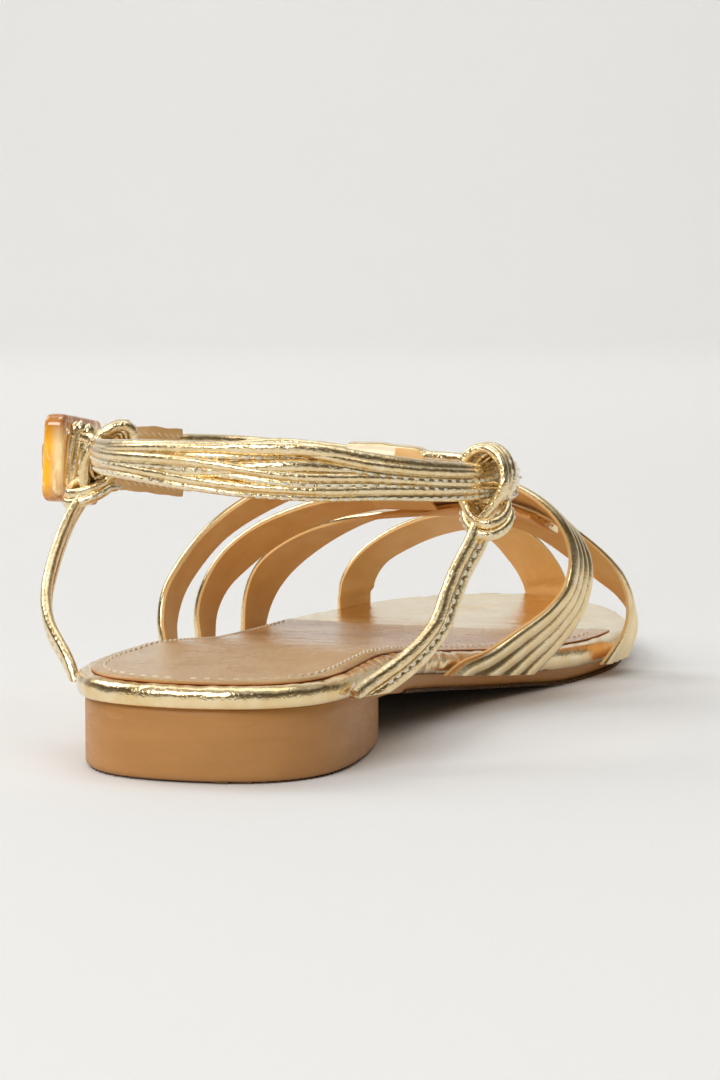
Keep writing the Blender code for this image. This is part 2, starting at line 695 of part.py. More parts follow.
def make_side_strap(side, below):
    """One corded band with the knot that holds it to the ankle strap."""
    outward = (1.0, -0.5, 0.0) if side == "medial" else (-1.0, -0.35, 0.0)
    points = through([getattr(row, side) for row in SIDE_BAND], 2)
    name = "side_strap_" + side
    strap = sweep(name, points, flat_profile(BAND_WIDTH, BAND_THICKNESS), outward)

    middle = np.array(LOOP_MIDDLE[side])
    across = unit(np.array([*LOOP_ACROSS[side], 0.0]))
    forward = np.cross(UP, across)
    sections = []
    for turn in np.linspace(0.0, 2 * math.pi, LOOP_STATIONS, endpoint=False):
        ray = across * math.cos(turn) * LOOP_REACH[0] + UP * math.sin(turn) * LOOP_REACH[1]
        normal = unit(across * math.cos(turn) / LOOP_REACH[0] + UP * math.sin(turn) / LOOP_REACH[1])
        profile = np.array(flat_profile(BAND_WIDTH, BAND_THICKNESS))
        sections.append(middle + ray + np.outer(profile[:, 0], forward) + np.outer(profile[:, 1], normal))
    combine(strap, tube(name + "_loop", sections, closed=True), "UNION")

    tilt = np.array([-math.copysign(COLLAR_FALL, across[0]), COLLAR_RISE, 0.0])
    sections = []
    for drop, share in COLLAR_DROP:
        z = middle[2] + drop
        foot = np.array([np.interp(z, points[:, 2], column) for column in points.T])
        ring = oval(COLLAR_REACH) * share
        ring = np.outer(ring[:, 0], across) + np.outer(ring[:, 1], forward)
        sections.append(foot + ring + np.outer(ring @ tilt, UP))
    combine(strap, tube(name + "_collar", sections), "UNION")
    combine(strap, below, "DIFFERENCE")
    return strap


# ---------------------------------------------------------------- scene


def new_object(name, points, faces):
    mesh = bpy.data.meshes.new(name)
    mesh.from_pydata((np.asarray(points) * MM).tolist(), [], [list(face) for face in faces])
    shape = bmesh.new()
    shape.from_mesh(mesh)
    bmesh.ops.recalc_face_normals(shape, faces=shape.faces)
    shape.to_mesh(mesh)
    shape.free()
    return bpy.data.objects.new(name, mesh)


def combine(obj, other, operation):
    """A Boolean with a helper object, which is kept out of the build."""
    if other.name not in CUTTERS.objects:
        CUTTERS.objects.link(other)
    other.hide_render = True
    other.display_type = "WIRE"
    modifier = obj.modifiers.new(other.name, "BOOLEAN")
    modifier.operation = operation
    modifier.solver = "EXACT"
    modifier.object = other


def material(name, colour, roughness, metallic):
    made = bpy.data.materials.new(name)
    made.use_nodes = True
    shader = made.node_tree.nodes["Principled BSDF"]
    shader.inputs["Base Color"].default_value = (*colour, 1.0)
    shader.inputs["Roughness"].default_value = roughness
    shader.inputs["Metallic"].default_value = metallic
    return made


def finish(obj, surface):
    obj.data.materials.append(surface)
    obj.data.shade_smooth()
    obj.data.set_sharp_from_angle(angle=math.radians(32))
    PARTS.objects.link(obj)


for old in list(bpy.data.objects):
    bpy.data.objects.remove(old)

PARTS = bpy.data.collections.new("strappy_sandal")
CUTTERS = bpy.data.collections.new("cutters")
for collection in (PARTS, CUTTERS):
    bpy.context.scene.collection.children.link(collection)

finish(make_outsole(), material("tan_resin", (0.36, 0.2, 0.095), 0.5, 0.0))
finish(make_footbed(), material("gold_foil", (0.74, 0.6, 0.36), 0.25, 1.0))
finish(make_sock(), material("tan_sock", (0.4, 0.26, 0.15), 0.3, 0.0))
gold_strap = material("gold_strap", (0.76, 0.63, 0.4), 0.22, 1.0)
below_straps = seat_cutter()
finish(make_upper(below_straps), gold_strap)
finish(make_toe_strap(below_straps), gold_strap)
finish(make_ankle_strap(), material("gold_cord", (0.78, 0.66, 0.44), 0.2, 1.0))
finish(make_ankle_tab(), gold_strap)
finish(make_keeper(), gold_strap)
for side in ("medial", "lateral"):
    finish(make_side_strap(side, below_straps), gold_strap)
finish(make_buckle_frame(), material("amber", (0.62, 0.27, 0.06), 0.12, 0.0))
finish(make_buckle_prong(), material("gold_metal", (0.83, 0.65, 0.33), 0.15, 1.0))
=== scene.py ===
"""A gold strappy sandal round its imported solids: foil straps, ankle cords, footbed, sole and buckle."""

import json
import math
from collections import namedtuple
from functools import cache, wraps
from types import SimpleNamespace

import bmesh
import bpy
import numpy as np
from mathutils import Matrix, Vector, noise

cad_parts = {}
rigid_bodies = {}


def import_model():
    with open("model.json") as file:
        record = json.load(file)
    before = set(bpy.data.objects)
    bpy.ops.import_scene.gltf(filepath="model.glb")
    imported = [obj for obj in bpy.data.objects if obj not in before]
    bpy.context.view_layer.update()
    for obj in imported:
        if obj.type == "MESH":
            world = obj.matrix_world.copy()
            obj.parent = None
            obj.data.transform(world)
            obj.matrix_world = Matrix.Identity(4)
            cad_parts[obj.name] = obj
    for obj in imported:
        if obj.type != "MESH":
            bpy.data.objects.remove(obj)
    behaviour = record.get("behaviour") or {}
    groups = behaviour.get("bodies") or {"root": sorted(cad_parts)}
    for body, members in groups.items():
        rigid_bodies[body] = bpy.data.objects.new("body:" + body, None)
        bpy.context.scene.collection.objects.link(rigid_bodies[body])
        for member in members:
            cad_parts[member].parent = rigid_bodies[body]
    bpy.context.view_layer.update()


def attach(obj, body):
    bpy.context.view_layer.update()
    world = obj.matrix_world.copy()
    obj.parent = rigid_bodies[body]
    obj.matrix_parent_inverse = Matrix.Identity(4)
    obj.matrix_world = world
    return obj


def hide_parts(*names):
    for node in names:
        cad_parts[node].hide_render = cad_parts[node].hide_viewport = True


bl_info = {
    "name": "Strappy sandal",
    "version": (1, 0, 0),
    "blender": (4, 5, 0),
    "location": "View3D > Sidebar > Sandal",
    "description": "Builds the visible pieces of a gold strappy sandal",
    "category": "Object",
}

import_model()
MM = 0.001
GAP = 0.3
UP = np.array((0.0, 0.0, 1.0))


def table(columns, *rows):
    """Rows whose columns have names."""
    row_type = namedtuple("Row", columns)
    return [row_type(*row) for row in rows]


def user_sizes():
    """The user's sizes, in millimetres."""
    chosen_sizes = bpy.context.scene.sandal_sizes
    names = SandalSizes.__annotations__
    return SimpleNamespace(**{name: round(getattr(chosen_sizes, name) / MM, 4) for name in names})


# ---------------------------------------------------------------- sizes, in millimetres

# Footbed's outline; the outsole's plate follows it
HEEL_TIP = (0.5, -3.8)
TOE_TIP = (8.0, 239.6)
FOOTBED_EDGE = table(
    "along lateral medial",
    (-2.2, -10.6, 12.0),
    (1.2, -17.6, 19.6),
    (6.2, -22.4, 24.6),
    (13.0, -26.1, 27.8),
    (22.5, -28.5, 29.2),
    (36.0, -29.1, 28.9),
    (50.0, -28.9, 28.4),
    (65.0, -29.0, 28.4),
    (85.0, -31.4, 28.9),
    (105.0, -35.8, 31.0),
    (125.0, -40.0, 35.5),
    (145.0, -42.2, 41.4),
    (165.0, -42.2, 45.6),
    (183.0, -40.2, 46.3),
    (200.0, -35.8, 43.7),
    (214.0, -30.4, 38.6),
    (226.0, -23.4, 31.2),
    (235.0, -11.4, 21.0),
)

# Heel block's outline, the breast at its front
BLOCK_TIP = (0.5, -2.0)
BLOCK_BREAST = (-0.5, 62.6)
BLOCK_EDGE = table(
    "along lateral medial",
    (-0.7, -9.8, 11.1),
    (2.4, -16.2, 18.2),
    (7.1, -20.9, 23.0),
    (13.6, -24.5, 26.2),
    (22.8, -26.9, 27.6),
    (36.0, -27.3, 27.0),
    (49.0, -26.4, 25.0),
    (58.0, -24.0, 22.3),
    (62.6, -18.0, 16.2),
)
BLOCK_STATIONS = 110
# Heel block's side: inset and height
BLOCK_CURVE = (
    (1.1, 0.35),
    (0.55, 0.42),
    (0.15, 0.7),
    (0.0, 1.3),
    (0.0, 6.0),
    (0.0, 12.0),
    (0.05, 13.9),
    (0.3, 14.3),
)

# Top of the outsole, where footbed and straps sit
JOINT_LEVEL = table(
    "along height",
    (45.0, 14.4),
    (60.0, 13.4),
    (75.0, 11.7),
    (93.0, 9.4),
    (111.0, 7.2),
    (130.0, 5.2),
    (150.0, 3.8),
    (165.0, 3.4),
    (190.0, 3.4),
    (210.0, 3.9),
    (225.0, 4.6),
    (240.0, 5.5),
)
UNDERSIDE = table(
    "along height",
    (40.0, 10.9),
    (52.0, 10.5),
    (63.0, 9.3),
    (83.0, 7.0),
    (108.0, 4.0),
    (131.0, 1.7),
    (152.0, 0.0),
    (196.0, 0.0),
    (207.0, 0.5),
    (220.0, 1.3),
    (240.0, 2.7),
)
FOOTBED_THICKNESS = table("along height", (0.0, 4.3), (100.0, 4.7), (150.0, 5.1), (205.0, 5.0), (240.0, 4.5))
# Footbed's wrapped edge: inset and share of its thickness
RAND_CURVE = (
    (1.3, 0.0),
    (0.75, -0.03),
    (0.35, 0.05),
    (0.08, 0.22),
    (0.0, 0.42),
    (0.03, 0.56),
    (0.18, 0.7),
    (0.45, 0.82),
    (0.85, 0.91),
    (1.4, 0.97),
    (2.1, 1.0),
)
# Outsole plate's side: inset at the heel and at the forefoot, and share of its thickness
PLATE_CURVE = (
    (2.4, 3.6, 0.0),
    (2.3, 3.1, 0.02),
    (2.2, 2.6, 0.1),
    (2.2, 2.2, 0.25),
    (2.2, 1.85, 0.5),
    (2.2, 1.65, 0.75),
    (2.2, 1.55, 1.0),
)
PLATE_HEEL_END = 48.0  # the heel's inset holds up to here
PLATE_FORE_START = 75.0  # and the forefoot's from here on
PLATE_STATIONS = 170
STRAP_MIDDLE = 1.0

# Each strap is a row of sections from its lateral to its medial end, given by its rear and front edge.
# The tables run through the middle of the wall, STRAP_MIDDLE above the lining.
INSTEP_STRAP = table(
    "rear front",
    ((-31.6, 76.0, 8.0), (-33.2, 85.8, 7.0)),
    ((-32.4, 76.6, 14.5), (-34.0, 87.0, 13.8)),
    ((-33.8, 78.0, 20.5), (-35.8, 91.3, 18.7)),
    ((-33.9, 81.0, 27.0), (-35.2, 94.2, 24.6)),
    ((-32.2, 85.6, 32.6), (-33.2, 98.2, 30.0)),
    ((-28.4, 92.4, 39.6), (-28.6, 105.0, 37.2)),
    ((-21.4, 101.0, 46.4), (-20.5, 114.0, 43.4)),
    ((-11.5, 110.5, 51.2), (-10.3, 124.0, 48.0)),
    ((0.0, 118.0, 53.2), (2.0, 133.2, 48.4)),
    ((13.5, 122.0, 52.8), (15.0, 139.2, 45.8)),
    ((26.0, 123.5, 50.4), (27.5, 141.4, 43.6)),
    ((36.5, 124.0, 46.8), (37.6, 141.6, 40.0)),
    ((43.7, 124.4, 41.0), (44.6, 140.8, 34.8)),
    ((47.2, 124.5, 33.5), (48.0, 139.0, 27.6)),
    ((47.0, 122.4, 26.4), (47.2, 136.8, 19.4)),
    ((44.3, 118.0, 21.3), (43.8, 132.3, 12.2)),
    ((39.2, 110.5, 16.8), (39.0, 124.5, 5.6)),
    ((34.6, 103.0, 13.3), (35.4, 115.0, 0.6)),
    ((31.4, 92.8, 11.9), (32.5, 105.0, -3.0)),
    ((30.2, 80.0, 9.6), (30.6, 97.0, -5.5)),
)
CROSS_STRAP = table(
    "rear front",
    ((-43.0, 127.0, 1.0), (-44.4, 139.5, 0.0)),
    ((-43.4, 127.2, 9.0), (-44.8, 139.7, 8.5)),
    ((-44.2, 127.5, 16.0), (-44.4, 140.3, 15.0)),
    ((-43.2, 128.6, 22.0), (-42.2, 141.7, 20.6)),
    ((-39.8, 131.5, 29.4), (-37.6, 144.5, 26.0)),
    ((-34.0, 134.6, 35.2), (-32.2, 147.0, 30.6)),
    ((-25.0, 136.4, 39.9), (-23.5, 148.4, 35.6)),
    ((-13.0, 136.8, 43.2), (-11.5, 148.6, 39.2)),
    ((0.0, 136.5, 44.8), (1.3, 148.0, 40.9)),
    ((12.0, 137.5, 45.0), (12.0, 149.8, 40.2)),
    ((24.0, 140.2, 43.4), (22.5, 153.2, 37.6)),
    ((33.5, 145.2, 40.4), (31.5, 157.9, 33.6)),
    ((41.0, 150.6, 36.6), (38.4, 162.4, 28.4)),
    ((46.8, 156.2, 31.0), (43.8, 167.2, 23.4)),
    ((50.6, 160.7, 25.0), (47.8, 172.6, 18.8)),
    ((52.2, 163.2, 18.2), (50.0, 176.6, 13.6)),
    ((51.6, 163.8, 11.8), (49.8, 178.2, 8.6)),
    ((48.8, 162.4, 6.4), (48.2, 178.0, 3.8)),
    ((46.0, 160.0, 2.0), (46.8, 175.6, -1.0)),
    ((44.6, 157.0, -2.0), (46.6, 172.5, -5.0)),
)
BALL_STRAP = table(
    "rear front",
    ((-44.4, 160.6, 0.0), (-43.7, 172.5, -0.5)),
    ((-44.7, 160.8, 8.0), (-43.6, 172.6, 7.5)),
    ((-44.4, 161.0, 15.0), (-42.2, 173.2, 13.4)),
    ((-43.2, 161.2, 20.0), (-39.8, 173.4, 18.0)),
    ((-40.4, 160.6, 24.8), (-35.6, 172.8, 22.8)),
    ((-34.6, 159.0, 29.6), (-29.0, 171.4, 28.0)),
    ((-26.4, 156.2, 33.8), (-20.5, 168.4, 33.0)),
    ((-16.8, 152.4, 36.9), (-11.0, 164.6, 37.0)),
    ((-6.0, 148.2, 38.8), (-1.0, 160.0, 38.8)),
    ((5.0, 144.0, 40.3), (9.0, 155.4, 39.5)),
    ((16.0, 139.6, 42.4), (20.0, 150.4, 40.2)),
    ((27.0, 136.2, 43.3), (31.0, 146.0, 40.0)),
    ((36.0, 133.4, 41.4), (40.0, 142.6, 37.0)),
)
TOE_STRAP = table(
    "rear front",
    ((-33.4, 206.0, 0.0), (-27.8, 215.6, 0.5)),
    ((-34.0, 206.3, 8.0), (-28.6, 216.3, 8.0)),
    ((-34.3, 206.4, 14.6), (-29.2, 217.0, 13.8)),
    ((-31.2, 208.2, 21.4), (-26.8, 220.0, 19.6)),
    ((-24.6, 210.3, 27.3), (-20.5, 223.6, 24.0)),
    ((-14.4, 212.9, 32.1), (-12.5, 226.6, 27.4)),
    ((-3.5, 215.8, 33.8), (-5.0, 229.0, 28.6)),
    ((5.6, 219.6, 32.2), (-0.4, 231.3, 25.8)),
    ((12.4, 225.6, 27.0), (3.2, 234.8, 20.8)),
    ((16.9, 231.4, 20.4), (5.6, 239.0, 15.6)),
    ((18.7, 236.2, 13.8), (6.8, 241.2, 10.8)),
    ((18.8, 237.4, 7.5), (7.0, 241.6, 5.0)),
    ((18.6, 237.4, -1.0), (7.0, 241.6, -1.5)),
)
# From its lower end, inside the crossing, back and up to the keeper; the two edges are lateral and medial
T_STRAP = table(
    "rear front",
    ((-3.0, 141.0, 42.2), (11.0, 141.0, 42.2)),
    ((-2.7, 134.5, 44.6), (11.3, 134.5, 44.6)),
    ((-2.2, 128.0, 47.2), (11.8, 128.0, 47.2)),
    ((-1.5, 121.5, 50.2), (12.5, 121.5, 50.2)),
    ((-0.6, 115.9, 51.9), (13.4, 115.9, 51.9)),
)


# Middle line of the corded ankle strap from the tab round the front, inside and back to the buckle
ANKLE_CORDS = table(
    "middle height thickness",
    ((-31.8, 95.2, 54.2), 13.0, 2.8),
    ((-27.2, 102.4, 54.6), 11.6, 3.0),
    ((-21.5, 106.2, 55.4), 9.4, 3.4),
    ((-15.0, 108.4, 55.9), 7.2, 3.9),
    ((-8.5, 109.5, 55.4), 6.5, 4.2),
    ((-0.2, 111.0, 54.5), 6.2, 4.1),
    ((15.0, 110.8, 54.1), 6.2, 4.1),
    ((28.0, 106.4, 53.4), 7.2, 4.0),
    ((40.4, 94.0, 53.2), 8.0, 3.6),
    ((45.8, 76.0, 53.6), 8.0, 3.6),
    ((45.4, 58.0, 54.9), 7.4, 3.8),
    ((43.6, 49.0, 55.4), 7.6, 3.7),
    ((38.0, 38.0, 56.4), 8.4, 3.6),
    ((31.0, 30.6, 57.4), 9.6, 3.5),
    ((21.0, 24.2, 58.5), 11.4, 3.4),
    ((9.0, 21.0, 59.1), 10.9, 3.4),
    ((-4.0, 21.2, 59.7), 9.6, 3.5),
    ((-16.0, 24.6, 60.1), 8.2, 3.7),
    ((-26.0, 32.4, 59.8), 7.2, 4.0),
    ((-32.6, 42.4, 59.4), 7.2, 4.0),
    ((-37.0, 54.0, 58.8), 7.4, 3.8),
    ((-41.0, 60.4, 58.2), 9.0, 3.0),
    ((-47.2, 62.8, 57.6), 12.0, 2.4),
)

# Leather tab from the cords' front end, inside the buckle's front bar and out through its opening
ANKLE_TAB = table(
    "middle height",
    ((-32.0, 94.8, 54.2), 15.0),
    ((-35.0, 90.2, 54.5), 15.0),
    ((-40.4, 85.6, 55.4), 14.6),
    ((-46.4, 81.6, 54.9), 12.0),
    ((-49.4, 77.0, 55.2), 11.4),
    ((-52.0, 71.0, 56.0), 11.4),
    ((-54.0, 66.4, 56.6), 9.6),
    ((-54.8, 64.4, 56.8), 6.0),
)
ANKLE_MIDDLE = (0.0, 60.0, 56.0)
TAB_STATIONS = 60
TAB_HOLE_HALVES = (1.0, 1.35)
TAB_PITCH = 1.5
TAB_STITCH = 1.1
TAB_THREAD = 0.15
TAB_ZIGZAG = 0.45
TAB_SEAM_INSET = 1.7
TAB_SEAM_SHORT = 8  # stations without stitches at the tab's end
# Each punched hole, from the tab's inside out
TAB_HOLES = (
    ((-34.6, 84.6, 54.8), (-41.0, 91.6, 54.8)),
    ((-38.6, 81.4, 55.4), (-45.0, 88.0, 55.4)),
)

BUCKLE_CENTRE = (-51.4, 71.6, 55.9)
BUCKLE_LENGTHWAYS = (-0.02, 1.0, -0.13)
BUCKLE_LENGTH = 24.0
BUCKLE_HEIGHT = 19.0
BUCKLE_BAR = 3.1
BUCKLE_DEPTH = 4.4
RIM_OVERLAP = 0.5
RIM_SUNK = 0.55
RIM_CORNER = 2.0
RIM_HALVES = (0.42, 0.6)
PRONG_HALVES = (0.85, 0.7)
PRONG = ((-51.9, 63.5, 56.9), (-52.8, 69.4, 56.2), (-54.2, 77.0, 55.2), (-55.1, 83.6, 54.4))

# Sleeve at the T-strap's top, round the cords
KEEPER_CENTRE = (7.4, 111.1, 54.2)
KEEPER_WIDTH = 15.5
KEEPER_HEIGHT = 9.6
KEEPER_DEPTH = 7.8
KEEPER_WALL = 1.2
KEEPER_SPARE = 0.5  # how much taller its outside is than the solid's
KEEPER_SPARE_INSIDE = 0.2
KEEPER_STATIONS = 31
# Where a turn round it faces the front and top, and is foil instead of the inside's tan
KEEPER_FRONT_TURN = 0.6
KEEPER_FRONT_LOW = -0.2
KEEPER_FRONT_BACK = -0.55

# Corded bands from the sole's edge up to the ankle strap, each looped round it with a hitch below
SIDE_BAND = table(
    "medial lateral",
    ((30.6, 18.8, 14.0), (-30.3, 24.0, 12.0)),
    ((31.9, 26.8, 16.9), (-31.6, 25.2, 17.0)),
    ((35.7, 35.0, 22.0), (-38.6, 30.0, 24.6)),
    ((41.4, 43.0, 28.6), (-42.6, 37.0, 31.6)),
    ((44.0, 48.0, 36.7), (-43.8, 43.6, 37.4)),
    ((45.6, 52.4, 42.6), (-43.4, 49.0, 43.2)),
    ((46.0, 55.2, 46.4), (-42.4, 52.8, 48.2)),
    ((45.7, 57.2, 48.9), (-39.2, 54.8, 51.9)),
)
LOOP_MIDDLE = {"medial": (45.5, 58.0, 55.2), "lateral": (-37.2, 55.0, 58.6)}
LOOP_ACROSS = {"medial": (0.99, -0.12), "lateral": (-0.92, -0.4)}
LOOP_REACH = (5.0, 6.3)

# How the five cords lie in the bundle: share of the way round, and each cord's height and side in it
CORD_LAY = table(
    "share high_smooth high_stitched mid_smooth mid_stitched low_stitched",
    (0.00, (1.0, 0.0), (0.5, 0.3), (0.0, -0.2), (-0.5, 0.3), (-1.0, 0.0)),
    (0.07, (0.9, 0.5), (0.55, -0.5), (0.0, 0.6), (-0.45, -0.5), (-1.0, 0.3)),
    (0.15, (0.5, 0.9), (0.9, -0.8), (-0.1, 0.2), (-0.8, 0.8), (-0.5, -0.9)),
    (0.22, (0.8, -0.9), (0.6, 0.9), (0.0, 0.2), (-0.7, 0.9), (-0.8, -0.9)),
    (0.33, (0.9, -0.3), (0.2, 0.9), (0.0, -0.8), (-0.9, 0.4), (-0.4, -0.9)),
    (0.42, (0.95, 0.1), (0.5, 0.5), (0.05, 0.7), (-0.5, 0.2), (-1.0, 0.4)),
    (0.47, (1.0, 0.2), (0.45, 0.6), (-0.1, 0.4), (-0.5, 0.6), (-1.0, 0.5)),
    (0.53, (1.0, 0.2), (0.45, 0.7), (-0.1, 0.0), (-0.45, 0.6), (-1.0, 0.6)),
    (0.60, (0.95, 0.3), (0.5, 0.9), (0.1, -0.7), (-0.3, 0.7), (-1.0, 0.7)),
    (0.68, (1.0, 0.5), (0.8, -0.4), (0.2, 0.7), (-0.4, 1.0), (-1.0, 0.5)),
    (0.76, (1.0, -0.1), (0.7, 0.7), (-0.5, 0.3), (0.05, 1.0), (-1.0, 0.5)),
    (0.83, (1.0, 0.2), (0.6, 0.7), (-0.55, -0.5), (0.1, 0.9), (-0.95, 0.6)),
    (0.90, (0.95, 0.5), (0.75, -0.5), (-0.55, 0.6), (0.3, 0.9), (-1.0, 0.2)),
    (1.00, (1.0, 0.0), (0.5, 0.0), (-0.5, 0.0), (0.0, 0.0), (-1.0, 0.0)),
)
SEWN_CORDS = (1, 3, 4)
# The cords' room, wander, twist and taper in the bundle
CORD_STATIONS = 300
CORD_SQUARE = 0.92
CORD_ROOM = 0.3  # least room up and down
CORD_PLAY = 0.605  # sideways room of the cords in the bundle
CORD_GATHER = 7.4  # how far from their start the cords spread to their full room
CORD_WANDER = 0.5
CORD_WANDER_SIZE = 34.0
CORD_TWIST = 0.35
CORD_TURNS = 14
CORD_TAPER = 0.5  # how much thinner the cords start inside the tab
CORD_TAPER_PAST = 1.2  # how far past the tab's end they reach their full size
SEWN_TALLER = 1.25
CORD_SEAM_OUT = 0.33
CORD_SEAM_ASIDE = 0.36

# The gathered leather at the buckle's end: place, half width, and lowest and highest point of each fold
CORD_END_FOLDS = (
    ((-45.2, 61.4), 1.3, 50.6, 64.6),
    ((-46.9, 61.2), 1.2, 50.2, 65.2),
    ((-48.4, 61.8), 1.1, 50.4, 65.0),
)
CORD_END_LEAN = (1.8, 1.0)
CORD_END_DEEP = 1.25
CORD_END_FACING = (-0.5, -1.0, 0.0)
CORD_END_UNEVEN = 0.25
CORD_END_UNEVEN_SIZE = 4.0

AMBER_CORNER = 2.9
AMBER_SQUARE = 0.42
TAB_TRIM = 3.0  # how far the tab's front end stops short, so that the cords show there
TAB_TUCK = 3.4  # how far the cords run on inside the tab

KEEPER_FLARE = 4.2  # how far the top of its medial end runs on
KEEPER_ROLL = 4.6  # width of its rolled tan end
# How far its top sinks, from its lateral end (-1) to its medial end (1)
KEEPER_TOP = (
    (-1.0, 1.6),
    (-0.9, 0.5),
    (-0.7, 0.0),
    (-0.3, 0.1),
    (0.0, 0.7),
    (0.25, 1.0),
    (0.6, 1.2),
    (0.85, 1.6),
    (1.0, 3.0),
)
KEEPER_CORNER = 0.7
KEEPER_FLARE_START = 3.0  # how far before its medial end it begins to flare

# The two cords of each side strap, and how far their stitches are sunk
STRAND_WIDE = 2.9
STRAND_DEEP = 2.3
STRAND_SQUARE = 0.85
STRAND_OVERLAP = 0.1
STEM_SWAY = 0.15
STEM_SWAY_SIZE = 12.0
STITCH_START = 1.5  # above the stem's foot
STITCH_SUNK = 0.18
LOOP_STITCH_SUNK = 0.05
HITCH_STITCH_SUNK = 0.08
SIDE_FACING = {"medial": (1.0, -0.5, 0.0), "lateral": (-1.0, -0.35, 0.0)}
STITCH_ASIDE = 0.5
STITCHED_TURN = 1  # the loop's turn that is stitched
STEM_FOOT = 14.9
STEM_TOP = {"medial": 46.9, "lateral": 51.0}
# How far each stem shifts to the medial side from the solid's course, by height
STEM_SHIFT = {
    "medial": (
        (15.0, 0.0),
        (17.0, 1.3),
        (19.5, 2.5),
        (22.5, 2.6),
        (26.0, 1.4),
        (31.0, -0.7),
        (37.0, -1.1),
        (44.0, 0.0),
    ),
    "lateral": ((13.0, 0.0), (18.0, -0.3), (23.0, -0.6), (28.0, -0.5), (35.0, 0.0)),
}
SIDE_STITCH_PITCH = 2.2
SIDE_STITCH = 1.6
LOOP_WIDE = 2.2
LOOP_DEEP = 2.2
# The loop's strands, side by side: place along the ankle strap, and how much tighter each is
LOOP_TURNS = ((-1.9, 0.0), (0.0, 0.0), (1.9, 0.0), (3.5, 0.9), (4.9, 1.8))
HITCH_DEEP = 1.8
LOOP_SLANT = 1.1
LOOP_SIZE = {"medial": (1.0, 0.0), "lateral": (0.86, -0.9)}  # width beside the solid's loop, and shift across
LOOP_PINCH = 0.45  # how much the loop narrows where it runs into the hitch
LOOP_DRAW = 2.2  # how far its foot is drawn down into the hitch
LOOP_LEAN = {"medial": 0.0, "lateral": -0.48}  # sideways for each millimetre up
# The hitch below each loop: drop from the loop's middle, shift from the stem, reach, and its tilt
HITCH = {
    "medial": (-6.0, (0.9, -0.6), (4.7, 4.4), (-0.16, 0.85)),
    "lateral": (-6.8, (0.6, -0.6), (5.4, 3.8), (-0.26, 0.4)),
}
HITCH_PINCH = 0.3
HITCH_SPREAD = 0.85
HITCH_SHRINK = 0.3
HITCH_TOP = 0.6  # the most that its hidden half rises

# How the foot straps are laid, kept off the rand, cut off level with the sole, and ribbed
STRAP_STATION = 1.3  # spacing of the loops along a strap
STRAP_TAIL = 9.0  # how far a strap is kept below its seat, to be cut off level with the sole
STRAP_SEAT = 0.4
RAND_CLEARANCE = 0.15
RAND_BELOW = 12.0  # straps are kept clear of the rand from this far below the joint
RAND_ABOVE = 3.0  # to this far above the footbed
TRIM_REACH = 15.0
TRIM_DEPTH = 30.0
TRIM_BELOW_JOINT = 0.15
TRIM_STATIONS = 90
RIB_VALLEY = 0.08
RIB_FULLNESS = 0.7
RIB_POINTS = 10
RIB_SPARE = 0.1
FOIL_SEAT = 0.75  # share of the lining's thickness that the foil lies on
FOIL_BASE = 0.25
FOIL_INNER = (1.0, 0.66, 0.33, 0.0)
LINING_PLACES = (-0.02, 0.35, 0.65, 1.02)
LINING_OUTER = 0.62
# How far a strap is lifted where it passes over another: share of its length, and lift
LIFTS = {
    "instep": ((0.0, 0.0), (0.34, 0.0), (0.5, 0.7), (0.66, 0.7), (0.78, 0.0), (1.0, 0.0)),
    "cross": ((0.0, 0.0), (0.3, 0.0), (0.45, 0.75), (0.62, 0.75), (0.74, 0.0), (1.0, 0.0)),
    "ball": ((0.0, 0.0), (0.45, 0.0), (0.62, -0.35), (1.0, -0.6)),
    "toe": ((0.0, 0.0), (1.0, 0.0)),
    "t": ((0.0, -0.6), (0.5, -0.4), (1.0, 0.0)),
}

# Foil pleats on the footbed's edge: side, where along the foot, half width, depth, and lean
RAND_PLEATS = table(
    "side along wide deep lean",
    (1, 36.0, 1.1, 0.45, 4.0),
    (1, 40.5, 0.9, 0.4, 5.0),
    (1, 45.0, 1.2, 0.6, 6.0),
    (1, 51.0, 1.0, 0.5, 7.0),
    (1, 56.0, 1.3, 0.65, 8.0),
    (1, 62.5, 1.0, 0.45, 7.0),
    (1, 68.0, 1.4, 0.55, 6.0),
    (1, 75.0, 1.2, 0.4, 5.0),
    (1, 84.0, 1.6, 0.35, 4.0),
    (1, 96.0, 1.4, 0.3, -3.0),
    (1, 112.0, 1.5, 0.25, 3.0),
    (1, 31.0, 0.9, 0.3, 3.0),
    (1, 22.0, 1.2, 0.22, 2.0),
    (1, 13.0, 1.0, 0.2, 1.0),
    (-1, 6.0, 1.0, 0.22, 0.5),
    (-1, 14.0, 1.2, 0.25, -0.8),
    (-1, 21.0, 1.0, 0.3, 1.5),
    (-1, 32.0, 1.2, 0.35, 3.0),
    (-1, 45.0, 1.5, 0.3, 3.0),
    (-1, 58.0, 1.3, 0.3, -3.0),
    (-1, 72.0, 1.6, 0.3, 2.5),
    (-1, 95.0, 1.5, 0.25, 2.0),
    (1, 222.0, 1.0, 0.25, 0.5),
    (1, 229.0, 1.1, 0.3, 0.8),
    (1, 234.0, 0.9, 0.3, 1.0),
    (-1, 216.0, 1.0, 0.25, 0.5),
    (-1, 223.0, 1.1, 0.3, -0.5),
    (-1, 229.0, 1.0, 0.3, 0.0),
    (-1, 234.0, 0.9, 0.3, 0.0),
)
RAND_STATIONS = 420
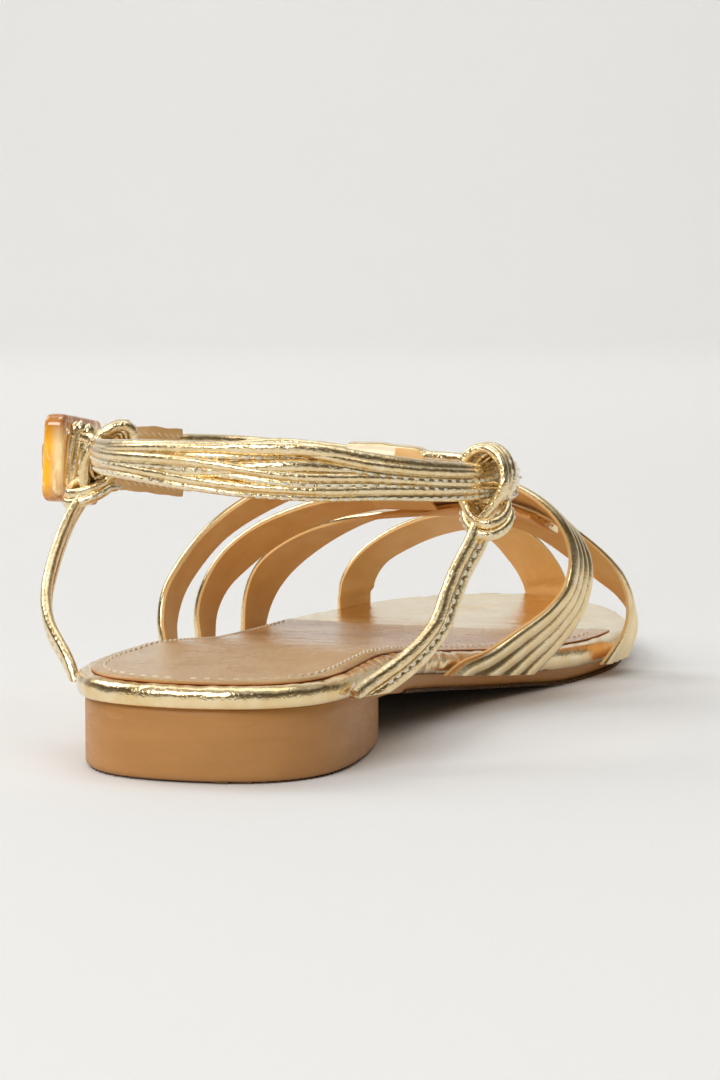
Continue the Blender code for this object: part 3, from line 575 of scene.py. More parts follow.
# Between these places the medial side's pleats are this much deeper
RAND_CRUSHED = (28.0, 90.0)
RAND_CRUSH = 1.5
PLEATS_TOWARDS = (0.0, 120.0)
PLEAT_BODY = 0.55
PLEAT_SAG = 0.3
PLEAT_BANK = 0.45  # the leather pushed up beside each pleat
PLEAT_BANK_PLACE = 1.8
FOOTBED_FLAT_INSET = 3.2
RIPPLE_START = 1.5
RIPPLE_CALM = 0.3  # under the sock
RIPPLE_STRETCH = (1.0, 0.45, 1.0)
# Unevenness of foil and leather: size, height and seed
BOARD_RIPPLES = ((2.6, 0.26, 3.0), (1.0, 0.09, 6.0))
STRAP_RIPPLES = ((6.0, 0.1, 1.0), (2.2, 0.03, 4.0))
SOCK_RIPPLES = ((16.0, 0.22, 5.0),)

# The sock and its seam
SOCK_INSET = 3.0
SOCK_FRONT = 177.0
SOCK_MEDIAL_LONGER = 4.0
SOCK_DIP = 7.0  # how far its front edge curves back
SOCK_DIP_START = 110.0
SOCK_LIFT = 0.12
SOCK_EDGE = 1.4  # width of its rounded edge
SOCK_EDGE_HEIGHT = 0.35  # share of its thickness left at its very edge
SOCK_ROW = 1.6  # about how far its rows are apart
SOCK_STATIONS = 120
SOCK_COLUMNS = 41
SEAM_INSET = 2.6
SEAM_FRONT = 172.0
SEAM_PITCH = 2.8
SEAM_STITCH = 2.1
SEAM_THREAD = 0.32
SEAM_SUNK = 0.12
SEAM_DIP = 0.16
SEAM_DIP_WIDTH = 0.5

# The tread's wavy bars, as shares of its depth where they are heights
TREAD_WAVE = 0.3
TREAD_WAVES = 3
TREAD_POINTS = 25
TREAD_HALF_WIDTH = 0.42
TREAD_HALF_DEPTH = 0.62
TREAD_SQUARE = 0.7
TREAD_START = 64.0  # the forepart's tread grows to its full depth over TREAD_FADE from here
TREAD_FADE = 6.0
TREADS = table(
    "edge back front inset first last fore",
    (FOOTBED_EDGE, HEEL_TIP, TOE_TIP, 1.7, 66.0, 236.0, True),
    (BLOCK_EDGE, BLOCK_TIP, BLOCK_BREAST, 0.75, 0.0, 61.0, False),
)

# The room's brightness by height, from the horizon to overhead
ROOM_SHADES = ((0.02, 0.75), (0.1, 0.5), (0.22, 0.3), (0.4, 0.16), (0.55, 0.16), (0.72, 0.9))

# The stage is in metres
CAMERA_PLACE = (0.2151, -0.5552, 0.1057)
CAMERA_AIM = (0.0085, 0.09, 0.0385)
SENSOR_HEIGHT = 36.0  # in millimetres
LIGHTS_AIM = (0.0, 0.11, 0.03)
BACKDROP_AIM = (-0.6, 3.0, 0.9)
LIGHTS = table(
    "name place aim size power",
    ("key from the left", (-2.0, 0.3, 1.9), LIGHTS_AIM, (1.5, 1.5), "key_light"),
    ("panel above", (0.1, 0.3, 1.9), LIGHTS_AIM, (2.2, 1.2), "top_light"),
    ("fill from behind", (-0.5, -1.8, 1.3), LIGHTS_AIM, (1.5, 0.8), "fill_light"),
    ("backdrop wash", (-0.3, 1.5, 1.9), BACKDROP_AIM, (2.4, 1.0), "backdrop_light"),
)
FLOOR_MIDDLE = (0.0, 0.1, 0.0)
FLOOR_HALF_WIDTH = 4.0
FLOOR_NEAR = -3.0
FLOOR_FAR = 2.2
BACKDROP_ROUNDING = 0.6
BACKDROP_TOP = 3.5


# ---------------------------------------------------------------- curves and tables


def through(points, per_span, closed=False):
    """Points along a centripetal Catmull-Rom curve through the given ones."""
    points = np.asarray(points, float)
    if closed:
        padded = np.vstack([points[-1:], points, points[:2]])
    else:
        first = 2 * points[0] - points[1]
        last = 2 * points[-1] - points[-2]
        padded = np.vstack([first, points, last])
    made = []
    for p0, p1, p2, p3 in zip(padded, padded[1:], padded[2:], padded[3:]):
        k0 = 0.0
        k1 = k0 + math.sqrt(np.linalg.norm(p1 - p0))
        k2 = k1 + math.sqrt(np.linalg.norm(p2 - p1))
        k3 = k2 + math.sqrt(np.linalg.norm(p3 - p2))
        for k in np.linspace(k1, k2, per_span, endpoint=False):
            a1 = (k1 - k) / (k1 - k0) * p0 + (k - k0) / (k1 - k0) * p1
            a2 = (k2 - k) / (k2 - k1) * p1 + (k - k1) / (k2 - k1) * p2
            a3 = (k3 - k) / (k3 - k2) * p2 + (k - k2) / (k3 - k2) * p3
            b1 = (k2 - k) / (k2 - k0) * a1 + (k - k0) / (k2 - k0) * a2
            b2 = (k3 - k) / (k3 - k1) * a2 + (k - k1) / (k3 - k1) * a3
            made.append((k2 - k) / (k2 - k1) * b1 + (k - k1) / (k2 - k1) * b2)
    if not closed:
        made.append(points[-1])
    return np.array(made)


def evenly(points, count):
    """The polyline cut into count equal lengths."""
    run = run_length(points)
    wanted = np.linspace(0.0, run[-1], count + 1)
    return np.stack([np.interp(wanted, run, column) for column in points.T], axis=1)


def level(rows, along):
    """Height of a table at these places along the foot: a smooth curve that never overshoots its rows."""
    x = np.array([row.along for row in rows])
    y = np.array([row.height for row in rows])
    slope = np.diff(y) / np.diff(x)
    both = slope[:-1] * slope[1:]
    tangent = np.zeros(len(x))
    bends = both > 0
    tangent[1:-1][bends] = 2 * both[bends] / (slope[:-1][bends] + slope[1:][bends])
    along = np.clip(along, x[0], x[-1])
    i = np.clip(np.searchsorted(x, along) - 1, 0, len(x) - 2)
    width = x[i + 1] - x[i]
    t = (along - x[i]) / width
    start = (1 + 2 * t) * (1 - t) ** 2 * y[i] + t * (1 - t) ** 2 * width * tangent[i]
    end = t**2 * (3 - 2 * t) * y[i + 1] + t**2 * (t - 1) * width * tangent[i + 1]
    return start + end


def run_length(points):
    """How far along a path each of its points is."""
    return np.concatenate([[0.0], np.cumsum(np.linalg.norm(np.diff(points, axis=0), axis=1))])


def unit(vectors):
    return vectors / np.linalg.norm(vectors, axis=-1, keepdims=True)


def outline(edge, back, front, inset=0.0):
    """The medial and lateral sides of a sole outline, each from its back to its front point."""
    medial = [(row.medial, row.along) for row in edge]
    lateral = [(row.lateral, row.along) for row in reversed(edge)]
    per_span = 12
    closed = through([back, *medial, front, *lateral], per_span, closed=True)
    ahead = np.roll(closed, -1, axis=0) - np.roll(closed, 1, axis=0)
    outward = unit(np.stack([ahead[:, 1], -ahead[:, 0]], axis=1))
    closed = closed - outward * inset
    half = (len(medial) + 1) * per_span
    return closed[: half + 1], np.vstack([closed[half:], closed[:1]])[::-1]


def sole_ring(sides, height, stations):
    """A closed ring of points, medial side forward and lateral side back, at height(along)."""
    medial, lateral = (evenly(side, stations) for side in sides)
    ring = np.vstack([medial, lateral[-2:0:-1]])
    return np.column_stack([ring, height(ring[:, 1])])


def joint(along):
    return level(JOINT_LEVEL, along)


def footbed_base(along):
    return joint(along) + GAP


def footbed_top(along):
    return footbed_base(along) + level(FOOTBED_THICKNESS, along)


# ---------------------------------------------------------------- shape helpers


def smooth_noise(points, scale, seed=0.0):
    """Seeded noise in -1..1 at these places, in millimetres."""
    return np.array([noise.noise(Vector(p) / scale + Vector((seed, seed * 1.7, seed * 0.3))) for p in points])


def ripples(points, waves):
    """The sum of seeded waves, each given by its size, its height and its seed."""
    return sum(smooth_noise(points, size, seed) * height for size, height, seed in waves)


def along_table(rows, share):
    """Linear reading of (place, value) pairs with softened corners."""
    places = [row[0] for row in rows]
    values = [row[1] for row in rows]
    fine = np.linspace(0, 1, 401)
    read = np.interp(fine, places, values)
    kernel = np.hanning(31)
    read = np.convolve(np.pad(read, 15, mode="edge"), kernel / kernel.sum(), mode="valid")
    return np.interp(share, fine, read)


def place_mesh(name, points, faces):
    """A mesh object from points in millimetres."""
    mesh = bpy.data.meshes.new(name)
    mesh.from_pydata((np.asarray(points, float) * MM).tolist(), [], [list(face) for face in faces])
    obj = bpy.data.objects.new(name, mesh)
    bpy.context.scene.collection.objects.link(obj)
    return obj


def make_piece(name, points, faces, surfaces, cad=(), face_surfaces=None, sharp=40):
    """A mesh object in the sandal's frame, riding on its body."""
    obj = place_mesh(name, points, faces)
    mesh = obj.data
    for surface in surfaces:
        mesh.materials.append(surface)
    if face_surfaces is not None:
        mesh.polygons.foreach_set("material_index", np.asarray(face_surfaces, dtype=np.int32))
    mesh.shade_smooth()
    mesh.set_sharp_from_angle(angle=math.radians(sharp))
    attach(obj, "root")
    if cad:
        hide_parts(*cad)
    return obj


def cut_away(obj, cutter):
    """Takes a helper's shape out of a piece."""
    modifier = obj.modifiers.new("cut", "BOOLEAN")
    modifier.operation = "DIFFERENCE"
    modifier.solver = "EXACT"
    modifier.object = cutter
    depsgraph = bpy.context.evaluated_depsgraph_get()
    made = bpy.data.meshes.new_from_object(obj.evaluated_get(depsgraph))
    obj.modifiers.clear()
    obj.data = made


def ring_faces(count, size, closed=False, start=0, flip=False):
    """Quads between loops of equal count, and caps at both ends unless the loops close on each other."""
    faces = []
    for s in range(count if closed else count - 1):
        here, there = start + s * size, start + (s + 1) % count * size
        for i in range(size):
            j = (i + 1) % size
            quad = (here + i, here + j, there + j, there + i)
            faces.append(quad[::-1] if flip else quad)
    if not closed:
        first = tuple(reversed(range(start, start + size)))
        last = tuple(start + (count - 1) * size + i for i in range(size))
        faces.append(first[::-1] if flip else first)
        faces.append(last[::-1] if flip else last)
    return faces


def loop_is_inside_out(sections):
    """Whether a tube through these loops would face inwards."""
    middle = len(sections) // 2
    loop = np.asarray(sections[middle])
    after = sections[min(middle + 1, len(sections) - 1)]
    ahead = np.asarray(after).mean(0) - np.asarray(sections[middle - 1]).mean(0)
    centre = loop.mean(0)
    turn = sum(np.cross(a - centre, b - centre) for a, b in zip(loop, np.roll(loop, -1, axis=0)))
    return float(np.dot(turn, ahead)) < 0


class Shell:
    """Gathers the parts of one piece."""

    def __init__(self):
        self.points = []
        self.faces = []
        self.surfaces = []
        self.count = 0

    def tube(self, sections, closed=False):
        flip = loop_is_inside_out(sections)
        made = ring_faces(len(sections), len(sections[0]), closed, self.count, flip)
        self.faces += made
        self.surfaces += [0] * len(made)
        self.points.append(np.vstack(sections))
        self.count += len(sections) * len(sections[0])

    def piece(self, name, surfaces, cad=(), slot="gold_leather", sharp=40):
        points = np.vstack(self.points)
        return make_piece(name, points, self.faces, surfaces, cad, self.surfaces, sharp)


def path_frames(points, outward):
    """Along, across and out at each point of a path; outward is one vector or one for each point."""
    points = np.asarray(points, float)
    along = unit(np.gradient(points, axis=0))
    outward = np.broadcast_to(np.asarray(outward, float), points.shape)
    out = unit(outward - along * np.sum(along * outward, axis=1)[:, None])
    return along, np.cross(along, out), out


def oval(across, out, count=12, power=1.0):
    """(across, out) pairs round an oval of these half-widths; a power below 1 squares it."""
    turns = np.linspace(0.0, 2 * math.pi, count, endpoint=False)
    c, s = np.cos(turns), np.sin(turns)
    return np.column_stack([np.sign(c) * np.abs(c) ** power * across, np.sign(s) * np.abs(s) ** power * out])


def swept(points, outward, profile, closed=False, scale=None, ends=0.0):
    """Loops of a profile along a path. ends rounds off the last part of each end by that length."""
    points = np.asarray(points, float)
    if closed:
        around = np.vstack([points[-1:], points, points[:1]])
        outs = np.broadcast_to(np.asarray(outward, float), points.shape)
        outs = np.vstack([outs[-1:], outs, outs[:1]])
        _, across, out = (part[1:-1] for part in path_frames(around, outs))
    else:
        _, across, out = path_frames(points, outward)
    run = run_length(points)
    sections = []
    for k, (point, a, o) in enumerate(zip(points, across, out)):
        size = 1.0 if scale is None else scale[k]
        if ends:
            reach = min(run[k], run[-1] - run[k]) / ends
            size *= math.sqrt(max(0.02, 1 - (1 - min(1.0, reach)) ** 2))
        sections.append(point + np.outer(profile[:, 0] * size, a) + np.outer(profile[:, 1] * size, o))
    return sections


def sewn_cord(tall, deep):
    """A round cord with a thinner sewn edge below it, as (across, out) pairs."""
    round_middle, round_reach = 0.36, 0.64
    edge_middle, edge_reach, edge_depth = -0.6, 0.4, 0.62
    web_depth, flatter_back = 0.3, 0.85
    shares = np.linspace(-1.0, 1.0, 19)
    cord = np.sqrt(np.clip(1 - ((shares - round_middle) / round_reach) ** 2, 0, 1))
    edge = edge_depth * np.sqrt(np.clip(1 - ((shares - edge_middle) / edge_reach) ** 2, 0, 1))
    web = np.where(np.abs(shares) < 0.95, web_depth, 0.0)
    depth = np.maximum(np.maximum(cord, edge), web) * deep / 2
    across = shares * tall / 2
    front = np.column_stack([across, depth])
    back = np.column_stack([across[-2:0:-1], -depth[-2:0:-1] * flatter_back])
    return np.vstack([front, back])


def smoothed(points, times):
    """The same path with its kinks rounded off; its ends stay."""
    points = np.array(points)
    for _ in range(times):
        points[1:-1] = points[1:-1] * 0.5 + (points[:-2] + points[2:]) * 0.25
    return points


def stitches(shell, points, outward, pitch, length, radius, lean=0.0):
    """A row of short thread bars along a path, slightly sunk at their ends."""
    sunk_end, raised_middle, thin_end = -0.7, 0.25, 0.55
    points = np.asarray(points, float)
    run = run_length(points)
    _, across, out = path_frames(points, outward)
    count = int(run[-1] / pitch)
    for k in range(count):
        middle = (k + 0.5) * pitch + (run[-1] - count * pitch) / 2
        steps = np.linspace(middle - length / 2, middle + length / 2, 4)
        centre = np.stack([np.interp(steps, run, column) for column in points.T], axis=1)
        up = np.stack([np.interp(steps, run, column) for column in out.T], axis=1)
        side = np.stack([np.interp(steps, run, column) for column in across.T], axis=1)
        rise = radius * np.array([sunk_end, raised_middle, raised_middle, sunk_end])
        tilt = np.linspace(-lean, lean, 4)
        centre = centre + up * rise[:, None] + side * tilt[:, None]
        sections = []
        for c, a, o, size in zip(centre, side, up, (thin_end, 1.0, 1.0, thin_end)):
            profile = oval(radius * size, radius * size, 6)
            sections.append(c + np.outer(profile[:, 0], a) + np.outer(profile[:, 1], o))
        shell.tube(sections)


# ---------------------------------------------------------------- finishes


def finish_nodes(name):
    """A new material's node tree and its shader."""
    material = bpy.data.materials.new(name)
    material.use_nodes = True
    tree = material.node_tree
    return material, tree, tree.nodes["Principled BSDF"]


def made_once(build):
    """Keeps a finish after its first making, so that pieces of the same finish share it."""

    @wraps(build)
    def found_or_built(name, *values, **named_values):
        return bpy.data.materials.get(name) or build(name, *values, **named_values)

    return found_or_built


def settings(shader, **values):
    """Plain values on a shader's own sockets."""
    for label, value in values.items():
        shader.inputs[label.replace("_", " ")].default_value = value


def stretched_place(tree, place, scale):
    """A place whose effects are stretched along its axes."""
    made = tree.nodes.new("ShaderNodeMapping")
    made.inputs["Scale"].default_value = scale
    tree.links.new(place, made.inputs["Vector"])
    return made.outputs["Vector"]


def apart(tree, place):
    """A place's three coordinates."""
    made = tree.nodes.new("ShaderNodeSeparateXYZ")
    tree.links.new(place, made.inputs["Vector"])
    return made.outputs


def new_group(name, inputs, outputs):
    """A shader node group with named inputs and outputs."""
    group = bpy.data.node_groups.new(name, "ShaderNodeTree")
    for label, kind, default in inputs:
        socket = group.interface.new_socket(name=label, in_out="INPUT", socket_type=kind)
        socket.default_value = default
    for label, kind in outputs:
        group.interface.new_socket(name=label, in_out="OUTPUT", socket_type=kind)
    entry = group.nodes.new("NodeGroupInput")
    leave = group.nodes.new("NodeGroupOutput")
    return group, entry, leave


def noise_node(group, vector, scale, detail=4.0, roughness=0.55, distortion=0.0):
    made = group.nodes.new("ShaderNodeTexNoise")
    made.inputs["Detail"].default_value = detail
    made.inputs["Roughness"].default_value = roughness
    made.inputs["Distortion"].default_value = distortion
    group.links.new(vector, made.inputs["Vector"])
    if isinstance(scale, (int, float)):
        made.inputs["Scale"].default_value = scale
    else:
        group.links.new(scale, made.inputs["Scale"])
    return made


def maths(group, operation, a, b=None, clamp=False):
    made = group.nodes.new("ShaderNodeMath")
    made.operation = operation
    made.use_clamp = clamp
    for socket, value in zip(made.inputs, (a, b)):
        if value is None:
            continue
        if isinstance(value, (int, float)):
            socket.default_value = value
        else:
            group.links.new(value, socket)
    return made.outputs[0]


def span(group, value, low, high, to_low, to_high):
    """A value mapped from one range to another and held inside it."""
    made = group.nodes.new("ShaderNodeMapRange")
    group.links.new(value, made.inputs["Value"])
    for label, number in (("From Min", low), ("From Max", high), ("To Min", to_low), ("To Max", to_high)):
        made.inputs[label].default_value = number
    return made.outputs["Result"]


def colour_mix(group, share, a, b):
    made = group.nodes.new("ShaderNodeMix")
    made.data_type = "RGBA"
    group.links.new(share, made.inputs["Factor"])
    for socket, value in ((made.inputs["A"], a), (made.inputs["B"], b)):
        if isinstance(value, tuple):
            socket.default_value = (*value, 1.0)
        else:
            group.links.new(value, socket)
    return made.outputs["Result"]


def object_place(group):
    return group.nodes.new("ShaderNodeTexCoord").outputs["Object"]


def foil_group():
    """Fine crinkles, soft dents and rubbed patches of foil-coated leather."""
    name = "Foil surface"
    if name in bpy.data.node_groups:
        return bpy.data.node_groups[name]
    group, entry, leave = new_group(
        name,
        (("Crinkle Scale", "NodeSocketFloat", 900.0), ("Dent Scale", "NodeSocketFloat", 120.0)),
        (("Height", "NodeSocketFloat"), ("Wear", "NodeSocketFloat"), ("Dull", "NodeSocketFloat")),
    )
    place = object_place(group)
    crinkle = noise_node(group, place, entry.outputs["Crinkle Scale"], 2.5, 0.6, 0.6)
    dent = noise_node(group, place, entry.outputs["Dent Scale"], 3.0, 0.5, 0.3)
    ridges = maths(group, "ABSOLUTE", maths(group, "SUBTRACT", crinkle.outputs["Fac"], 0.5))
    dents = maths(group, "MULTIPLY", dent.outputs["Fac"], 1.4)
    height = maths(group, "ADD", maths(group, "MULTIPLY", ridges, -0.8), dents)
    patches = noise_node(group, place, 55.0, 3.0, 0.6)
    group.links.new(height, leave.inputs["Height"])
    group.links.new(span(group, patches.outputs["Fac"], 0.58, 0.72, 0.0, 1.0), leave.inputs["Wear"])
    group.links.new(span(group, dent.outputs["Fac"], 0.35, 0.7, 0.0, 1.0), leave.inputs["Dull"])
    return group


def leather_group():
    """Pores, soft mottling and faint rubbing of smooth leather."""
    name = "Leather surface"
    if name in bpy.data.node_groups:
        return bpy.data.node_groups[name]
    group, entry, leave = new_group(
        name,
        (("Grain Scale", "NodeSocketFloat", 1500.0), ("Mottle Scale", "NodeSocketFloat", 60.0)),
        (("Height", "NodeSocketFloat"), ("Mottle", "NodeSocketFloat"), ("Rub", "NodeSocketFloat")),
    )
    place = object_place(group)
    cells = group.nodes.new("ShaderNodeTexVoronoi")
    cells.feature = "DISTANCE_TO_EDGE"
    group.links.new(place, cells.inputs["Vector"])
    group.links.new(entry.outputs["Grain Scale"], cells.inputs["Scale"])
    mottle = noise_node(group, place, entry.outputs["Mottle Scale"], 5.0, 0.6)
    rub = noise_node(group, stretched_place(group, place, (1.0, 0.22, 1.0)), 240.0, 4.0, 0.65)
    group.links.new(span(group, cells.outputs["Distance"], 0.0, 0.25, 0.0, 1.0), leave.inputs["Height"])
    group.links.new(span(group, mottle.outputs["Fac"], 0.3, 0.7, 0.0, 1.0), leave.inputs["Mottle"])
    group.links.new(span(group, rub.outputs["Fac"], 0.5, 0.75, 0.0, 1.0), leave.inputs["Rub"])
    return group


def place_group(tree, group, **values):
    made = tree.nodes.new("ShaderNodeGroup")
    made.node_tree = group
    for label, value in values.items():
        made.inputs[label.replace("_", " ")].default_value = value
    return made


def bump(tree, height, strength, distance, shader):
    made = tree.nodes.new("ShaderNodeBump")
    made.inputs["Strength"].default_value = strength
    made.inputs["Distance"].default_value = distance
    tree.links.new(height, made.inputs["Height"])
    tree.links.new(made.outputs["Normal"], shader.inputs["Normal"])


@made_once
def foil(name, colours, crinkle, dent, strength, roughness, coat=0.25):
    """Pale gold foil over soft leather; colours are fresh and dull, crinkle and dent how fine they are."""
    material, tree, shader = finish_nodes(name)
    surface = place_group(tree, foil_group(), Crinkle_Scale=crinkle, Dent_Scale=dent)
    tree.links.new(colour_mix(tree, surface.outputs["Dull"], *colours), shader.inputs["Base Color"])
    tree.links.new(span(tree, surface.outputs["Wear"], 0.0, 1.0, *roughness), shader.inputs["Roughness"])
    settings(shader, Metallic=1.0, Coat_Weight=coat, Coat_Roughness=0.12)
    bump(tree, surface.outputs["Height"], strength, 0.0004, shader)
    return material


@made_once
def leather(name, colours, grain, strength, roughness, coat=0.0):
    """Smooth tan leather with pores and mottling; the colours are light, deep and rubbed."""
    light, deep, rubbed = colours
    material, tree, shader = finish_nodes(name)
    surface = place_group(tree, leather_group(), Grain_Scale=grain, Mottle_Scale=70.0)
    base = colour_mix(tree, surface.outputs["Mottle"], light, deep)
    share = maths(tree, "MULTIPLY", surface.outputs["Rub"], 0.35)
    tree.links.new(colour_mix(tree, share, base, rubbed), shader.inputs["Base Color"])
    tree.links.new(span(tree, surface.outputs["Mottle"], 0.0, 1.0, *roughness), shader.inputs["Roughness"])
    settings(shader, Coat_Weight=coat, Coat_Roughness=0.28)
    bump(tree, surface.outputs["Height"], strength, 0.00012, shader)
    return material


@made_once
def resin(name, colours):
    """Moulded sole resin with faint flow marks, scuffs and a painted shade darkening its foot; the colours
    are light and deep.
    """
    scuff_colour, foot_shade_colour, foot_shade_height = (0.72, 0.47, 0.26), (0.2, 0.1, 0.04), 0.0016
    material, tree, shader = finish_nodes(name)
    place = object_place(tree)
    flow = stretched_place(tree, place, (1.0, 1.0, 4.0))
    clouds = noise_node(tree, flow, 38.0, 5.0, 0.6)
    specks = noise_node(tree, place, 900.0, 3.0, 0.7)
    scuffs = noise_node(tree, flow, 190.0, 6.0, 0.75, 1.2)
    base = colour_mix(tree, span(tree, clouds.outputs["Fac"], 0.3, 0.7, 0.0, 1.0), *colours)
    base = colour_mix(tree, span(tree, scuffs.outputs["Fac"], 0.62, 0.74, 0.0, 0.5), base, scuff_colour)
    # painted shade: up to 0.55 of the dark foot colour is mixed in at the very bottom, fading out over the
    # lowest 1.6 mm
    foot = span(tree, apart(tree, place)["Z"], 0.0, foot_shade_height, 0.55, 0.0)
    tree.links.new(colour_mix(tree, foot, base, foot_shade_colour), shader.inputs["Base Color"])
    tree.links.new(span(tree, scuffs.outputs["Fac"], 0.4, 0.75, 0.36, 0.62), shader.inputs["Roughness"])
    settings(shader, Specular_IOR_Level=0.4)
    fine = maths(tree, "MULTIPLY", specks.outputs["Fac"], 0.4)
    height = maths(tree, "ADD", fine, maths(tree, "MULTIPLY", scuffs.outputs["Fac"], 0.6))
    bump(tree, height, 0.25, 0.0002, shader)
    return material


@made_once
def amber(name):
    """Cloudy amber resin, bright orange towards its middle, pale on its inner side and brown at its ends,
    with a painted glow that makes it shine faintly in its own colour.
    """
    fresh_colour, inner_colour = (1.0, 0.47, 0.03), (0.92, 0.7, 0.38)
    brown_colour, fleck_colour = (0.4, 0.13, 0.015), (1.0, 0.82, 0.42)
    inner_start, inner_end = (BUCKLE_CENTRE[0] - 0.3) * MM, (BUCKLE_CENTRE[0] + 1.3) * MM
    material, tree, shader = finish_nodes(name)
    place = object_place(tree)
    streak = stretched_place(tree, place, (1.0, 1.0, 0.3))
    cloud = noise_node(tree, streak, 190.0, 4.0, 0.6, 1.2)
    fleck = noise_node(tree, streak, 520.0, 3.0, 0.6, 0.8)
    where = apart(tree, place)
    off_middle = maths(tree, "ABSOLUTE", maths(tree, "SUBTRACT", where["Z"], BUCKLE_CENTRE[2] * MM))
    ends = span(tree, off_middle, 0.0035, 0.0092, 0.0, 0.95)
    brown = maths(tree, "ADD", ends, span(tree, cloud.outputs["Fac"], 0.42, 0.7, -0.1, 0.6), clamp=True)
    inner = span(tree, where["X"], inner_start, inner_end, 0.0, 0.9)
    base = colour_mix(tree, brown, colour_mix(tree, inner, fresh_colour, inner_colour), brown_colour)
    base = colour_mix(tree, span(tree, fleck.outputs["Fac"], 0.56, 0.68, 0.0, 0.75), base, fleck_colour)
    tree.links.new(base, shader.inputs["Base Color"])
    # painted glow: the base colour is also emitted, at the strength set below, so the amber shines as if lit
    # through
    tree.links.new(base, shader.inputs["Emission Color"])
    tree.links.new(span(tree, cloud.outputs["Fac"], 0.3, 0.7, 0.06, 0.16), shader.inputs["Roughness"])
    settings(shader, Emission_Strength=0.25, Coat_Weight=0.8, Coat_Roughness=0.05)
    return material


@made_once
def polished_gold(name):
    """Bright gold metal with fine scratches."""
    material, tree, shader = finish_nodes(name)
    scratch = noise_node(tree, object_place(tree), 2200.0, 3.0, 0.6).outputs["Fac"]
    colour = colour_mix(tree, scratch, (0.86, 0.66, 0.32), (0.8, 0.58, 0.26))
    tree.links.new(colour, shader.inputs["Base Color"])
    tree.links.new(span(tree, scratch, 0.3, 0.7, 0.1, 0.24), shader.inputs["Roughness"])
    settings(shader, Metallic=1.0)
    return material


@made_once
def thread(name, colours):
    """Twisted sewing thread; the colours are light and deep."""
    material, tree, shader = finish_nodes(name)
    twist = tree.nodes.new("ShaderNodeTexWave")
    twist.bands_direction = "DIAGONAL"
    twist.inputs["Scale"].default_value = 1400.0
    tree.links.new(object_place(tree), twist.inputs["Vector"])
    tree.links.new(colour_mix(tree, twist.outputs["Fac"], *colours), shader.inputs["Base Color"])
    settings(shader, Roughness=0.55)
    bump(tree, twist.outputs["Fac"], 0.5, 0.0001, shader)
    return material


@made_once
def plain_floor(name, colour):
    """Matt pale floor, a touch paler in places."""
    material, tree, shader = finish_nodes(name)
    grain = noise_node(tree, object_place(tree), 3.0, 2.0, 0.5)
    paler = tuple(min(1.0, c * 1.015) for c in colour)
    tree.links.new(colour_mix(tree, grain.outputs["Fac"], colour, paler), shader.inputs["Base Color"])
    settings(shader, Roughness=0.7, Specular_IOR_Level=0.25)
    return material


def foil_colours():
    """The user's fresh and dull gold."""
    looks = bpy.context.scene.sandal_looks
    return tuple(looks.foil_light), tuple(looks.foil_deep)


def strap_foil():
    return foil("strap foil", foil_colours(), 1400.0, 260.0, strength=0.25, roughness=(0.16, 0.32))


def rand_foil():
    return foil("footbed foil", foil_colours(), 900.0, 190.0, strength=0.4, roughness=(0.16, 0.3))


def cord_foil():
    rough = (0.14, 0.28)
    return foil("cord foil", foil_colours(), 1250.0, 420.0, strength=0.5, roughness=rough, coat=0.5)


def soft_foil():
    colours = ((0.86, 0.74, 0.54), (0.8, 0.66, 0.44))
    rough = (0.5, 0.65)
    return foil("soft pale foil", colours, 1100.0, 300.0, strength=0.5, roughness=rough, coat=0.0)


def tan_lining():
    light = tuple(bpy.context.scene.sandal_looks.lining)
    colours = (light, (0.84, 0.46, 0.15), (0.96, 0.68, 0.32))
    return leather("tan lining", colours, grain=1900.0, strength=0.3, roughness=(0.45, 0.6))


def tab_lining():
    colours = ((0.86, 0.56, 0.25), (0.62, 0.36, 0.13), (0.9, 0.68, 0.38))
    return leather("pale tan lining", colours, grain=1700.0, strength=0.4, roughness=(0.4, 0.55))


def tan_sock():
    light = tuple(bpy.context.scene.sandal_looks.sock)
    colours = (light, (0.5, 0.29, 0.105), (0.68, 0.46, 0.22))
    return leather("tan sock", colours, grain=1300.0, strength=0.2, roughness=(0.2, 0.32), coat=0.35)


def cut_edge():
    colours = ((0.72, 0.27, 0.07), (0.55, 0.19, 0.05), (0.8, 0.4, 0.15))
    return leather("cut edge", colours, grain=2600.0, strength=0.4, roughness=(0.6, 0.75))


def tan_resin():
    return resin("tan resin", ((0.55, 0.262, 0.078), (0.46, 0.213, 0.06)))


# Near-black tread bars: partly their own dark colour, partly painted shadow that draws the dark line along
# the sole's lower edge
def tread_resin():
    return resin("worn tread resin", ((0.13, 0.07, 0.03), (0.07, 0.035, 0.015)))


def gold_thread():
    return thread("gold thread", ((0.98, 0.94, 0.82), (0.8, 0.72, 0.52)))


def tan_thread():
    return thread("tan thread", ((0.98, 0.88, 0.7), (0.78, 0.62, 0.4)))


# ---------------------------------------------------------------- sole


def foot_outline(inset=0.0):
    """The footbed's medial and lateral sides, drawn in by this much."""
    return outline(FOOTBED_EDGE, HEEL_TIP, TOE_TIP, inset)


def slab(rings):
    """Points and faces of a slab between rings from bottom to top, closed by rungs across the foot."""
    size = len(rings[0])
    half = size // 2
    faces = []
    for low in range(len(rings) - 1):
        for i in range(size):
            j = (i + 1) % size
            faces.append((low * size + i, low * size + j, (low + 1) * size + j, (low + 1) * size + i))
    for start, upward in ((0, False), ((len(rings) - 1) * size, True)):
        for i in range(half):
            rung = [i, i + 1, (size - i - 1) % size, (size - i) % size]
            face = [start + k for k in dict.fromkeys(rung)]
            faces.append(tuple(face if upward else reversed(face)))
    return np.vstack(rings), faces


